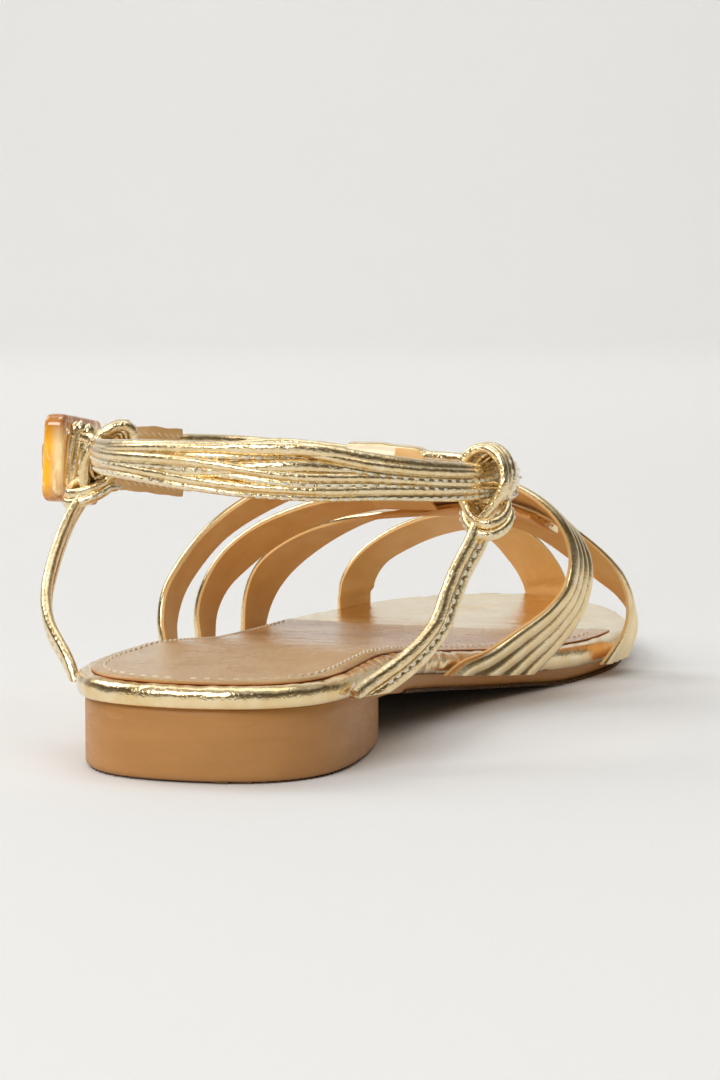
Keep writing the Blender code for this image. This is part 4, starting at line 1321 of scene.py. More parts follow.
def plate_ring(heel_inset, fore_inset, rise, tread_depth):
    """One ring of the outsole's plate, at this share of its thickness."""
    sides = []
    for heel_points, fore_points in zip(foot_outline(heel_inset), foot_outline(fore_inset)):
        share = (heel_points[:, 1] - PLATE_HEEL_END) / (PLATE_FORE_START - PLATE_HEEL_END)
        share = np.clip(share, 0, 1)[:, None]
        share = share**2 * (3 - 2 * share)
        sides.append(heel_points * (1 - share) + fore_points * share)

    def height(along):
        tread = tread_depth * np.clip((along - TREAD_START) / TREAD_FADE, 0, 1)
        return (level(UNDERSIDE, along) + tread) * (1 - rise) + joint(along) * rise

    return sole_ring(sides, height, PLATE_STATIONS)


def block_ring(inset, height):
    """One level ring of the heel block."""
    sides = outline(BLOCK_EDGE, BLOCK_TIP, BLOCK_BREAST, inset)
    return sole_ring(sides, lambda along: np.full(len(along), height), BLOCK_STATIONS)


def build_outsole():
    """The forepart plate, the heel block, and the fine tread under both."""
    sizes = user_sizes()
    points, faces = slab([plate_ring(*row, sizes.tread_depth) for row in PLATE_CURVE])
    make_piece("outsole_plate", points, faces, [tan_resin()], ("outsole",))
    points, faces = slab([block_ring(*row) for row in BLOCK_CURVE])
    make_piece("heel_block", points, faces, [tan_resin()], ())

    treads = Shell()
    half_depth = sizes.tread_depth * TREAD_HALF_DEPTH
    bar = oval(TREAD_HALF_WIDTH, half_depth, 8, TREAD_SQUARE)
    wave = TREAD_WAVE * np.sin(np.linspace(0, TREAD_WAVES * 2 * math.pi, TREAD_POINTS))
    for tread in TREADS:
        medial, lateral = outline(tread.edge, tread.back, tread.front, tread.inset)
        for along in np.arange(tread.first, tread.last, sizes.tread_pitch):
            right = np.interp(along, medial[:, 1], medial[:, 0])
            left = np.interp(along, lateral[:, 1], lateral[:, 0])
            across = np.linspace(left, right, TREAD_POINTS)
            base = level(UNDERSIDE, np.array([along]))[0] if tread.fore else 0.0
            path = np.column_stack([across, along + wave, np.full(TREAD_POINTS, base + half_depth)])
            treads.tube(swept(path, UP, bar))
    treads.piece("fine_tread", [tread_resin()], (), "outsole")


# ---------------------------------------------------------------- footbed and sock


def rand_ring(inset, rise, pleats=True):
    """One ring of the footbed's wrapped edge, with its pleats."""

    def height(along):
        return footbed_base(along) * (1 - rise) + footbed_top(along) * rise

    ring = sole_ring(foot_outline(inset), height, RAND_STATIONS)
    if not pleats:
        return ring
    half = len(ring) // 2
    inward = unit(np.array(PLEATS_TOWARDS) - ring[:, :2])
    body = PLEAT_BODY * math.sin(math.pi * min(1.0, rise + 0.05)) + 0.1
    for k, point in enumerate(ring):
        side = 1 if k <= half else -1
        crushed = side == 1 and RAND_CRUSHED[0] < point[1] < RAND_CRUSHED[1]
        crush = RAND_CRUSH if crushed else 1.0
        sink = 0.0
        for pleat in RAND_PLEATS:
            if pleat.side != side:
                continue
            off = (point[1] - pleat.along - pleat.lean * (rise - 0.5)) / pleat.wide
            banks = PLEAT_BANK * math.exp(-2 * (abs(off) - PLEAT_BANK_PLACE) ** 2)
            sink += crush * pleat.deep * (math.exp(-off * off) - banks)
        point[:2] += inward[k] * sink * body
        point[2] -= sink * PLEAT_SAG * rise
    return ring


def build_board():
    """The footbed's board, wrapped in foil."""
    rings = [rand_ring(inset, rise) for inset, rise in RAND_CURVE]
    flat = rand_ring(FOOTBED_FLAT_INSET, 1.0, pleats=False)
    points, faces = slab([*rings, flat])
    raised = np.clip((points[:, 2] - footbed_base(points[:, 1])) / RIPPLE_START, 0, 1)
    calm = np.where(np.arange(len(points)) >= len(points) - len(flat), RIPPLE_CALM, 1.0)
    points[:, 2] += ripples(points * RIPPLE_STRETCH, BOARD_RIPPLES) * raised * calm
    make_piece("foil_footbed", points, faces, [rand_foil()], ("footbed",), sharp=60)


def sock_grid():
    """The sock's underside, row by row from heel to ball, each from the lateral to the medial side."""
    medial, lateral = foot_outline(SOCK_INSET)
    medial = evenly(medial[medial[:, 1] < SOCK_FRONT + SOCK_MEDIAL_LONGER], SOCK_STATIONS)
    lateral = evenly(lateral[lateral[:, 1] < SOCK_FRONT], SOCK_STATIONS)
    grid = np.zeros((SOCK_STATIONS + 1, SOCK_COLUMNS, 3))
    for s, (right, left) in enumerate(zip(medial, lateral)):
        for c, share in enumerate(np.linspace(0.0, 1.0, SOCK_COLUMNS)):
            x, y = left + (right - left) * share
            reach = np.clip((y - SOCK_DIP_START) / (SOCK_FRONT - SOCK_DIP_START), 0, 1)
            y -= SOCK_DIP * reach**2 * 4 * share * (1 - share)
            grid[s, c] = (x, y, 0.0)
    grid[:, :, 2] = footbed_top(grid[:, :, 1]) + SOCK_LIFT
    return grid


def build_sock():
    """The tan sock lining with its rounded edge, and its seam."""
    thickness = user_sizes().sock_thickness
    grid = sock_grid()
    rows, columns = grid.shape[:2]
    shares = np.linspace(0.0, 1.0, columns)
    wide = np.linalg.norm(grid[:, -1] - grid[:, 0], axis=1)[:, None]
    from_side = np.minimum(shares, 1 - shares)[None, :] * wide
    from_front = np.arange(rows)[::-1, None] * SOCK_ROW
    rim = np.minimum(np.minimum(from_side, from_front), SOCK_EDGE) / SOCK_EDGE
    rounded = np.sqrt(np.clip(1 - (1 - rim) ** 2, 0, 1))
    rise = thickness * (SOCK_EDGE_HEIGHT + (1 - SOCK_EDGE_HEIGHT) * rounded)
    dip = SEAM_DIP * np.exp(-(((from_side - SEAM_INSET) / SEAM_DIP_WIDTH) ** 2))
    top = grid.copy()
    top[:, :, 2] += rise - dip
    top, low = top.reshape(-1, 3), grid.reshape(-1, 3)
    top[:, 2] += ripples(top, SOCK_RIPPLES) * rim.reshape(-1)

    index = np.arange(rows * columns).reshape(rows, columns)
    quads = [(a, a + 1, a + columns + 1, a + columns) for a in index[:-1, :-1].ravel().tolist()]
    under = [tuple(len(top) + k for k in reversed(quad)) for quad in quads]
    border = np.concatenate([index[0], index[1:, -1], index[-1, -2::-1], index[-2:0:-1, 0]]).tolist()
    edge = [(b, a, a + len(top), b + len(top)) for a, b in zip(border, border[1:] + border[:1])]
    kinds = [0] * (len(quads) + len(under)) + [1] * len(edge)
    points, faces = np.vstack([top, low]), quads + under + edge
    make_piece("sock_lining", points, faces, [tan_sock(), cut_edge()], ("sock",), kinds, sharp=70)

    seam = Shell()
    for side in foot_outline(SOCK_INSET + SEAM_INSET):
        path = evenly(side[side[:, 1] < SEAM_FRONT], 400)
        path = np.column_stack([path, footbed_top(path[:, 1]) + SOCK_LIFT + thickness - SEAM_SUNK])
        stitches(seam, path, UP, SEAM_PITCH, SEAM_STITCH, SEAM_THREAD)
    seam.piece("sock_stitches", [tan_thread()], (), "sock")


# ---------------------------------------------------------------- straps


@cache
def rand_edge():
    """The footbed's edge as a closed ring, the step from each point to the next, and its outward side."""
    medial, lateral = foot_outline()
    edge = np.vstack([medial, lateral[-2:0:-1]])
    ahead = np.roll(edge, -1, axis=0) - edge
    return edge, ahead, unit(np.stack([ahead[:, 1], -ahead[:, 0]], axis=1))


def clear_of_rand(points):
    """Moves the points that would lie in the footbed's edge straight out, to just beside it."""
    edge, ahead, outward = rand_edge()
    moved = points.copy()
    for point in moved:
        if not joint(point[1]) - RAND_BELOW < point[2] < footbed_top(point[1]) + RAND_ABOVE:
            continue
        share = np.einsum("ij,ij->i", point[:2] - edge, ahead) / np.einsum("ij,ij->i", ahead, ahead)
        nearest = edge + ahead * np.clip(share, 0, 1)[:, None]
        i = int(np.argmin(np.linalg.norm(nearest - point[:2], axis=1)))
        beside = float(np.dot(point[:2] - nearest[i], outward[i]))
        if beside < RAND_CLEARANCE:
            point[:2] += outward[i] * (RAND_CLEARANCE - beside)
    return moved


def strap_courses(rows, lift, beside_rand):
    """A strap's rear and front edge along its lining, station by station, and its outward directions."""
    edges = through([(*row.rear, *row.front) for row in rows], 16)
    middle = (edges[:, :3] + edges[:, 3:]) / 2
    edges = evenly(edges, round(run_length(middle)[-1] / STRAP_STATION))
    if beside_rand:
        tail = joint((edges[:, 1] + edges[:, 4]) / 2) - STRAP_SEAT - STRAP_TAIL
        edges = edges[(edges[:, 2] > tail) | (edges[:, 5] > tail)]
    rear, front = edges[:, :3], edges[:, 3:]
    outward = unit(np.cross(np.gradient((rear + front) / 2, axis=0), front - rear))
    raised = along_table(lift, np.linspace(0, 1, len(edges)))[:, None]
    rear = rear + outward * (raised - STRAP_MIDDLE)
    front = front + outward * (raised - STRAP_MIDDLE)
    return rear, front, outward


def rib_profile(ribs):
    """Shares of the strap's width and the ribs' height there, from 0 to 1."""
    shares, heights = [], []
    for rib in range(ribs):
        for k in range(RIB_POINTS):
            t = k / RIB_POINTS
            shares.append((rib + t) / ribs)
            heights.append(RIB_VALLEY + (1 - RIB_VALLEY) * math.sin(math.pi * t) ** RIB_FULLNESS)
    heights[0] = 0.0
    return np.array([*shares, 1.0]), np.array([*heights, 0.0])


def build_strap(name, rows, ribs, cad, beside_rand=True):
    """A strap: padded foil ribs on a tan lining."""
    sizes = user_sizes()
    rear, front, outward = strap_courses(rows, LIFTS[name], beside_rand)
    shares, heights = rib_profile(ribs)
    rise = sizes.lining_thickness * FOIL_SEAT + FOIL_BASE + (sizes.rib_height + RIB_SPARE) * heights[:, None]
    foil_sections, lining_sections = [], []
    for start, end, normal in zip(rear, front, outward):
        courses = [start + np.outer(places, end - start) for places in (shares, FOIL_INNER, LINING_PLACES)]
        if beside_rand:
            courses = [clear_of_rand(course) for course in courses]
        over, under, inside = courses
        foil_sections.append(np.vstack([over + normal * rise, under + normal * sizes.lining_thickness * 0.5]))
        lining_sections.append(np.vstack([inside + normal * LINING_OUTER, inside[::-1]]))
    loop = len(foil_sections[0])
    foil_points = np.vstack(foil_sections)
    wrinkle = np.repeat(outward, loop, axis=0) * ripples(foil_points, STRAP_RIPPLES)[:, None]
    wrinkle[np.tile(np.arange(loop) >= len(shares), len(foil_sections))] = 0.0
    shell = Shell()
    shell.tube(list((foil_points + wrinkle).reshape(-1, loop, 3)))
    shell.piece(name + "_ribs", [strap_foil()], cad, sharp=50)
    lining = Shell()
    lining.tube(lining_sections)
    lining.piece(name + "_strap_lining", [tan_lining()], cad, sharp=50)


def trim_to_sole():
    """Cuts the straps off level with the top of the outsole."""
    sides = foot_outline(-TRIM_REACH)
    low = sole_ring(sides, lambda along: np.full(len(along), -TRIM_DEPTH), TRIM_STATIONS)
    high = sole_ring(sides, lambda along: joint(along) - TRIM_BELOW_JOINT, TRIM_STATIONS)
    cutter = place_mesh("sole_trim", *slab([low, high]))
    for obj in list(bpy.context.scene.objects):
        if obj.name.endswith(("_ribs", "_strap_lining")):
            cut_away(obj, cutter)
    bpy.data.objects.remove(cutter)


def build_upper():
    """The straps over the foot, from the ball to the toes, cut off level with the sole."""
    build_strap("ball", BALL_STRAP, 4, ("upper",))
    build_strap("cross", CROSS_STRAP, 4, ("upper",))
    build_strap("instep", INSTEP_STRAP, 4, ("upper",))
    build_strap("t", T_STRAP, 3, ("upper",), beside_rand=False)
    build_strap("toe", TOE_STRAP, 4, ("toe_strap",))
    trim_to_sole()


# ---------------------------------------------------------------- ankle strap


def ankle_path():
    """Middle, height and thickness along the cords, begun inside the tab."""
    rows = [(*row.middle, row.height, row.thickness) for row in ANKLE_CORDS]
    tab = evenly(through([row.middle for row in ANKLE_TAB], 12), TAB_STATIONS)
    reach = np.linalg.norm(tab - tab[0], axis=1)
    inside = []
    for depth in (TAB_TRIM + TAB_TUCK, TAB_TRIM):
        place = [np.interp(depth, reach, column) for column in tab.T]
        inside.append((*place, *rows[0][3:]))
    return evenly(through([*inside, *rows], 16), CORD_STATIONS)


def build_ankle_strap():
    """Five foil cords, three of them stitched, and the folded leather at the buckle's end."""
    sizes = user_sizes()
    rows = ankle_path()
    middle, tall, deep = rows[:, :3], rows[:, 3], rows[:, 4]
    side = unit(np.cross(UP, unit(np.gradient(middle, axis=0))))
    reach = np.linspace(0, np.linalg.norm(np.diff(middle, axis=0), axis=1).sum(), len(rows))
    shares = np.clip((reach - TAB_TUCK) / (reach[-1] - TAB_TUCK), 0, 1)
    lay = through([(row[0], *(value for pair in row[1:] for value in pair)) for row in CORD_LAY], 12)
    size = 1 - CORD_TAPER * np.clip(1 - reach / (TAB_TUCK + CORD_TAPER_PAST), 0, 1)
    room = np.maximum(tall / 2 - sizes.cord_height / 2, CORD_ROOM)
    play = (np.maximum(deep / 2 - sizes.cord_depth / 2, 0.0) + CORD_PLAY) * np.clip(reach / CORD_GATHER, 0, 1)
    sewn_profile = sewn_cord(sizes.cord_height * SEWN_TALLER, sizes.cord_depth)
    plain_profile = oval(sizes.cord_height / 2, sizes.cord_depth / 2, 18, CORD_SQUARE)
    smooth, stitched, sewing = Shell(), Shell(), Shell()
    for cord in range(len(CORD_LAY[0]) - 1):
        up = np.interp(shares, lay[:, 0], lay[:, 1 + 2 * cord])
        out = np.interp(shares, lay[:, 0], lay[:, 2 + 2 * cord])
        wander = smooth_noise(middle, CORD_WANDER_SIZE, 2.0 + cord * 3.1) * CORD_WANDER
        path = middle + side * (out * play)[:, None]
        path[:, 2] += up * room + wander * np.clip(room / 3, 0, 1)
        facing = side + np.outer(np.sin(shares * CORD_TURNS + cord * 2) * CORD_TWIST, UP)
        if cord not in SEWN_CORDS:
            smooth.tube(swept(path, facing, plain_profile, scale=size))
            continue
        stitched.tube(swept(path, facing, sewn_profile, scale=size))
        _, across, outs = path_frames(path, facing)
        seam = path + outs * sizes.cord_depth * CORD_SEAM_OUT - across * sizes.cord_height * CORD_SEAM_ASIDE
        stitches(sewing, seam, outs, sizes.stitch_pitch, sizes.stitch_length, sizes.thread / 2)
    smooth.piece("ankle_cords_smooth", [cord_foil()], ("ankle_strap",), "gold_cord")
    stitched.piece("ankle_cords_stitched", [cord_foil()], (), "gold_cord")
    sewing.piece("ankle_cord_stitches", [gold_thread()], (), "gold_cord")

    fold = Shell()
    for place, wide, low, high in CORD_END_FOLDS:
        path = np.array([(*place, low), (*place, (low + high) / 2), (*place, high)])
        path[2, :2] += CORD_END_LEAN
        path[1, :2] += np.array(CORD_END_LEAN) * 0.4
        path = through(path, 8)
        path[:, :2] += smooth_noise(path, CORD_END_UNEVEN_SIZE, place[0])[:, None] * CORD_END_UNEVEN
        fold.tube(swept(path, CORD_END_FACING, oval(wide, CORD_END_DEEP, 16, 0.8), ends=1.6))
    fold.piece("cord_end_fold", [strap_foil()], (), "gold_cord")


def build_ankle_tab():
    """The tab: foil outside, tan inside, a zigzag row along both edges, and punched holes."""
    rows = evenly(through([(*row.middle, row.height) for row in ANKLE_TAB], 12), TAB_STATIONS)
    rows = rows[np.linalg.norm(rows[:, :3] - rows[0, :3], axis=1) > TAB_TRIM]
    middle, tall = rows[:, :3], rows[:, 3]
    side = unit(np.cross(unit(np.gradient(middle, axis=0)), UP))
    half = user_sizes().tab_thickness / 2
    across = np.linspace(-0.5, 0.5, 13)
    edge = 1 - 0.35 * (np.abs(across) * 2) ** 8  # thinner at the rim
    wave = 1 + 0.012 * np.sin(np.arange(len(rows)) * 0.9)
    sections = []
    for k in range(len(rows)):
        face = middle[k] + np.outer(across * (tall[k] * wave[k]), UP)
        outer = np.outer(edge * half, side[k])
        inner = np.outer(edge[::-1] * half, side[k])
        sections.append(np.vstack([face + outer, face[::-1] - inner]))
    tab = Shell()
    tab.tube(sections)
    size = len(across)
    outside_is_first = float(np.dot(side[20], middle[20] - np.array(ANKLE_MIDDLE))) > 0
    kinds = []
    for face in tab.faces[: (len(rows) - 1) * 2 * size]:
        first = all(i % (2 * size) < size for i in face)
        kinds.append(0 if first == outside_is_first else 1)
    tab.surfaces = kinds + [1] * (len(tab.faces) - len(kinds))
    obj = tab.piece("ankle_tab_leather", [strap_foil(), tab_lining()], ("ankle_tab",), "tab_leather")
    for ends in TAB_HOLES:
        punch = Shell()
        punch.tube(swept(ends, UP, oval(*TAB_HOLE_HALVES, 20)))
        cutter = punch.piece("punch", [])
        cut_away(obj, cutter)
        bpy.data.objects.remove(cutter)

    sewing = Shell()
    for face in (1, -1):
        for edge in (1, -1):
            path = middle + side * (face * (half + 0.02)) + np.outer(edge * (tall / 2 - TAB_SEAM_INSET), UP)
            ends = slice(None, -TAB_SEAM_SHORT)
            stitches(sewing, path[ends], side[ends] * face, TAB_PITCH, TAB_STITCH, TAB_THREAD, TAB_ZIGZAG)
    sewing.piece("ankle_tab_stitches", [tan_thread()], (), "tab_leather")


def keeper_loop(x, depth, height, turns):
    """One loop of the keeper at this place along it, sunk on top and flared at its medial end."""
    half = KEEPER_WIDTH / 2
    c, s = np.cos(turns), np.sin(turns)
    y = np.sign(c) * np.abs(c) ** KEEPER_CORNER * depth / 2
    z = np.sign(s) * np.abs(s) ** KEEPER_CORNER * height / 2
    sunk = along_table(KEEPER_TOP, np.array([x / half]))[0]
    z = z * np.where(z > 0, 1 - sunk / (height / 2), 1.0)
    start = KEEPER_FLARE_START
    flare = (x - half + start) / start * (KEEPER_FLARE * (0.5 + z / height))
    return np.array(KEEPER_CENTRE) + np.column_stack([x + np.where(x > half - start, flare, 0.0), y, z])


def build_keeper():
    """The T-strap's end folded round the cords, with a tan inside and a rolled lip."""
    half = KEEPER_WIDTH / 2
    wall = 2 * KEEPER_WALL
    turns = np.linspace(0, 2 * math.pi, 40, endpoint=False)
    places = np.linspace(-half, half, KEEPER_STATIONS)
    sections = [keeper_loop(x, KEEPER_DEPTH, KEEPER_HEIGHT + KEEPER_SPARE, turns) for x in places]
    inside = KEEPER_DEPTH - wall, KEEPER_HEIGHT - wall + KEEPER_SPARE_INSIDE
    sections += [keeper_loop(x, *inside, turns) for x in places[::-1]]
    shell = Shell()
    shell.tube(sections, closed=True)
    pale, tan, gold = 0, 1, 2
    rolled = int(np.sum(places < half - KEEPER_ROLL))
    shell.surfaces = []
    for s in range(len(sections)):
        hidden = pale if s < rolled else tan
        shown = gold if s < KEEPER_STATIONS - 2 else tan
        for turn in turns:
            upper = math.sin(turn + KEEPER_FRONT_TURN) > KEEPER_FRONT_LOW
            front = math.cos(turn) > KEEPER_FRONT_BACK
            shell.surfaces.append(shown if upper and front else hidden)
    finishes = [soft_foil(), tan_lining(), strap_foil()]
    shell.piece("keeper_sleeve", finishes, ("keeper_loop",), "gold_leather", sharp=60)


# ---------------------------------------------------------------- side straps


def cut_level(obj, height):
    """Cuts off what lies below this height and closes the cut."""
    shape = bmesh.new()
    shape.from_mesh(obj.data)
    geometry = shape.verts[:] + shape.edges[:] + shape.faces[:]
    place = (0.0, 0.0, height * MM)
    bmesh.ops.bisect_plane(shape, geom=geometry, plane_co=place, plane_no=(0.0, 0.0, 1.0), clear_inner=True)
    bmesh.ops.holes_fill(shape, edges=[edge for edge in shape.edges if edge.is_boundary])
    shape.to_mesh(obj.data)
    shape.free()


def wrap(centre, axis, forward, reach, tilt=(0.0, 0.0, 0.0), stations=72):
    """A closed oval course round something, with its outward directions."""
    ring, normals = [], []
    for turn in np.linspace(0.0, 2 * math.pi, stations, endpoint=False):
        c, s = math.cos(turn), math.sin(turn)
        flat = axis * c * reach[0] + forward * s * reach[1]
        ring.append(centre + flat + UP * float(np.dot(flat, tilt)))
        normals.append(unit(axis * c / reach[0] + forward * s / reach[1]))
    return np.array(ring), np.array(normals)


def cord_profile(wide, deep):
    """The squarish oval of a side cord."""
    return oval(wide / 2, deep / 2, 18, STRAND_SQUARE)


def lay_stem(side, course, stems, sewing, thread_radius):
    """Two cords side by side from the sole's edge upwards, with a stitched groove between them."""
    facing = SIDE_FACING[side]
    stem = course[course[:, 2] < STEM_TOP[side]]
    _, across, out = path_frames(stem, facing)
    beside = STRAND_WIDE / 2 - STRAND_OVERLAP
    for turn in (-1, 1):
        sway = smooth_noise(stem, STEM_SWAY_SIZE, 7.0 + turn)[:, None] * STEM_SWAY
        path = stem + across * (turn * beside) + out * sway
        stems.tube(swept(path, facing, cord_profile(STRAND_WIDE, STRAND_DEEP)))
    seam = stem + across * STITCH_ASIDE + out * (STRAND_DEEP / 2 - STITCH_SUNK)
    shown = seam[:, 2] > STEM_FOOT + STITCH_START
    stitches(sewing, seam[shown], out[shown], SIDE_STITCH_PITCH, SIDE_STITCH, thread_radius)


def lay_loop(side, middle, axis, forward, cords, sewing, thread_radius):
    """The turns round the ankle strap, one of them stitched on both faces."""
    wider, shift = LOOP_SIZE[side]
    ahead = 1.0 if forward[1] > 0 else -1.0
    for turn, (place, tighter) in enumerate(LOOP_TURNS):
        reach = (LOOP_REACH[0] * wider - tighter, LOOP_REACH[1] - tighter)
        centre = middle + forward * (place * ahead) + axis * shift
        points, normals = wrap(centre, axis, UP, reach)
        below = np.clip((middle[2] - points[:, 2]) / reach[1], 0, 1)
        points = points - np.outer(((points - centre) @ axis) * LOOP_PINCH * below**2, axis)
        points[:, 2] -= (LOOP_DRAW if tighter == 0 else 0.0) * below**2
        slant = (points[:, 2] - middle[2]) / LOOP_REACH[1]
        points = points + np.outer(slant * LOOP_SLANT, forward)
        points = points + np.outer((points[:, 2] - middle[2]) * LOOP_LEAN[side], axis)
        band = cord_profile(LOOP_WIDE, LOOP_DEEP)
        cords.tube(swept(points, normals, band, closed=True), closed=True)
        if turn != STITCHED_TURN:
            continue
        outs = np.vstack([normals, normals[:1]])
        for face in (1, -1):
            seam = points + normals * (face * (LOOP_DEEP / 2 - LOOP_STITCH_SUNK))
            seam = np.vstack([seam, seam[:1]])
            stitches(sewing, seam, outs * face, SIDE_STITCH_PITCH, SIDE_STITCH, thread_radius)


def lay_hitch(side, foot, axis, forward, cords, sewing, thread_radius):
    """Two tilted rings that tie the loop's foot to the stem, the lower one stitched."""
    _, shift, reach, (fall, rise) = HITCH[side]
    foot = foot + axis * shift[0] + forward * shift[1]
    tilt = axis * fall + np.array([0.0, rise, 0.0])
    for turn in (-1, 1):
        shrink = HITCH_SHRINK * (turn + 1)
        points, normals = wrap(foot, axis, forward, (reach[0] - shrink, reach[1] - shrink), tilt)
        points[:, 2] = np.minimum(points[:, 2], foot[2] + HITCH_TOP) + turn * HITCH_SPREAD
        swell = 1 - HITCH_PINCH * np.clip((foot - points) @ axis / reach[0], 0, 1)
        band = cord_profile(LOOP_WIDE, HITCH_DEEP)
        cords.tube(swept(points, normals, band, closed=True, scale=swell), closed=True)
        if turn == -1:
            seam = points + normals * (HITCH_DEEP / 2 - HITCH_STITCH_SUNK)
            stitches(sewing, seam, normals, SIDE_STITCH_PITCH, SIDE_STITCH, thread_radius)


def build_side_strap(side):
    """Two cords from the sole's edge to the ankle strap, looped round it and hitched below the loop."""
    thread_radius = user_sizes().thread / 2
    course = smoothed(evenly(through([getattr(row, side) for row in SIDE_BAND], 14), 90), 60)
    course[:, 0] += np.interp(course[:, 2], *zip(*STEM_SHIFT[side]))
    course = smoothed(course, 12)
    middle = np.array(LOOP_MIDDLE[side])
    axis = unit(np.array([*LOOP_ACROSS[side], 0.0]))
    forward = np.cross(UP, axis)
    drop = HITCH[side][0]
    foot = np.array([np.interp(middle[2] + drop, course[:, 2], column) for column in course.T])
    stems, cords, sewing = Shell(), Shell(), Shell()
    lay_stem(side, course, stems, sewing, thread_radius)
    lay_loop(side, middle, axis, forward, cords, sewing, thread_radius)
    lay_hitch(side, foot, axis, forward, cords, sewing, thread_radius)
    made = stems.piece("side_strap_stem_" + side, [cord_foil()], ("side_strap_" + side,), "gold_cord")
    cut_level(made, STEM_FOOT)
    cords.piece("side_strap_loop_" + side, [cord_foil()], ("side_strap_" + side,), "gold_cord")
    sewing.piece("side_strap_stitches_" + side, [gold_thread()], (), "gold_cord")


# ---------------------------------------------------------------- buckle


def buckle_ring(length, height, corner, profile, aside=0.0, steps=10):
    """Loops of a profile round a rectangle with round corners in the buckle's plane."""
    lengthways = unit(np.array(BUCKLE_LENGTHWAYS))
    outward = unit(np.cross(lengthways, UP))
    up = np.cross(outward, lengthways)
    centre = np.array(BUCKLE_CENTRE)
    sections = []
    for quarter, (a, b) in enumerate(((1, 1), (-1, 1), (-1, -1), (1, -1))):
        middle = centre + lengthways * a * (length / 2 - corner) + up * b * (height / 2 - corner)
        for step in range(steps):
            angle = math.radians(90 * quarter + 90 * step / (steps - 1))
            ray = lengthways * math.cos(angle) + up * math.sin(angle)
            point = middle + ray * corner + outward * aside
            sections.append(point + np.outer(profile[:, 0], ray) + np.outer(profile[:, 1], outward))
    return sections


def build_buckle():
    """Amber frame with a gold rim round its opening, and the prong."""
    amber_ring = Shell()
    length, height = BUCKLE_LENGTH - BUCKLE_BAR, BUCKLE_HEIGHT - BUCKLE_BAR
    profile = oval(BUCKLE_BAR / 2, BUCKLE_DEPTH / 2, 28, AMBER_SQUARE)
    amber_ring.tube(buckle_ring(length, height, AMBER_CORNER - BUCKLE_BAR / 2, profile), closed=True)
    amber_ring.piece("amber_buckle_frame", [amber("cloudy amber")], ("buckle_frame",), "amber", sharp=60)
    rim = Shell()
    length = BUCKLE_LENGTH - 2 * BUCKLE_BAR + RIM_OVERLAP
    height = BUCKLE_HEIGHT - 2 * BUCKLE_BAR + RIM_OVERLAP
    for shift in (-1, 1):
        aside = shift * (BUCKLE_DEPTH / 2 - RIM_SUNK)
        rim.tube(buckle_ring(length, height, RIM_CORNER, oval(*RIM_HALVES, 10), aside), closed=True)
    rim.piece("buckle_gold_rim", [polished_gold("polished gold")], (), "gold_metal")
    prong = Shell()
    prong.tube(swept(through(PRONG, 8), (-1.0, 0.0, 0.0), oval(*PRONG_HALVES, 14), ends=1.2))
    prong.piece("buckle_pin", [polished_gold("polished gold")], ("buckle_prong",), "gold_metal")


# ---------------------------------------------------------------- stage


def turn_towards(obj, aim):
    """Points a light or camera at a place."""
    obj.rotation_euler = (Vector(aim) - obj.location).to_track_quat("-Z", "Y").to_euler()


def area_light(name, place, aim, size, power):
    """A rectangular softbox."""
    lamp = bpy.data.lights.new(name, "AREA")
    lamp.shape = "RECTANGLE"
    lamp.size, lamp.size_y = size
    lamp.energy = power
    obj = bpy.data.objects.new(name, lamp)
    obj.location = place
    turn_towards(obj, aim)
    bpy.context.scene.collection.objects.link(obj)


def build_room(strength):
    """Light from all round: bright near the floor, a dark studio above, pale overhead."""
    world = bpy.data.worlds.new("studio room")
    world.use_nodes = True
    tree = world.node_tree
    sky = tree.nodes["Background"]
    direction = tree.nodes.new("ShaderNodeTexCoord").outputs["Generated"]
    shades = tree.nodes.new("ShaderNodeValToRGB")
    tree.links.new(apart(tree, direction)["Z"], shades.inputs["Fac"])
    stops = shades.color_ramp.elements
    stops[0].position, stops[0].color = 0.0, (0.9, 0.88, 0.85, 1.0)
    stops[1].position, stops[1].color = 1.0, (1.0, 1.0, 1.0, 1.0)
    for place, shade in ROOM_SHADES:
        stop = stops.new(place)
        warm = 1 - shade
        stop.color = (shade, shade * (1 - 0.14 * warm), shade * (1 - 0.4 * warm), 1.0)
    tree.links.new(shades.outputs["Color"], sky.inputs["Color"])
    sky.inputs["Strength"].default_value = strength
    bpy.context.scene.world = world


def build_floor(colour):
    """Floor that rounds up into a backdrop, square to the camera's view."""
    ahead = Vector(CAMERA_AIM) - Vector(CAMERA_PLACE)
    ahead.z = 0.0
    ahead.normalize()
    right = Vector((ahead.y, -ahead.x, 0.0))
    shape = [(FLOOR_NEAR, 0.0), (FLOOR_FAR, 0.0)]
    for angle in np.linspace(0.1, math.pi / 2, 14):
        rise = BACKDROP_ROUNDING - BACKDROP_ROUNDING * math.cos(angle)
        shape.append((FLOOR_FAR + BACKDROP_ROUNDING * math.sin(angle), rise))
    shape.append((FLOOR_FAR + BACKDROP_ROUNDING, BACKDROP_TOP))
    points = []
    for forward, height in shape:
        for side in (-FLOOR_HALF_WIDTH, FLOOR_HALF_WIDTH):
            place = Vector(FLOOR_MIDDLE) + ahead * forward + right * side + Vector((0, 0, height))
            points.append(place / MM)
    faces = [(2 * k, 2 * k + 1, 2 * k + 3, 2 * k + 2) for k in range(len(shape) - 1)]
    floor = place_mesh("pale_floor", points, faces)
    floor.data.materials.append(plain_floor("pale floor", colour))
    floor.data.shade_smooth()


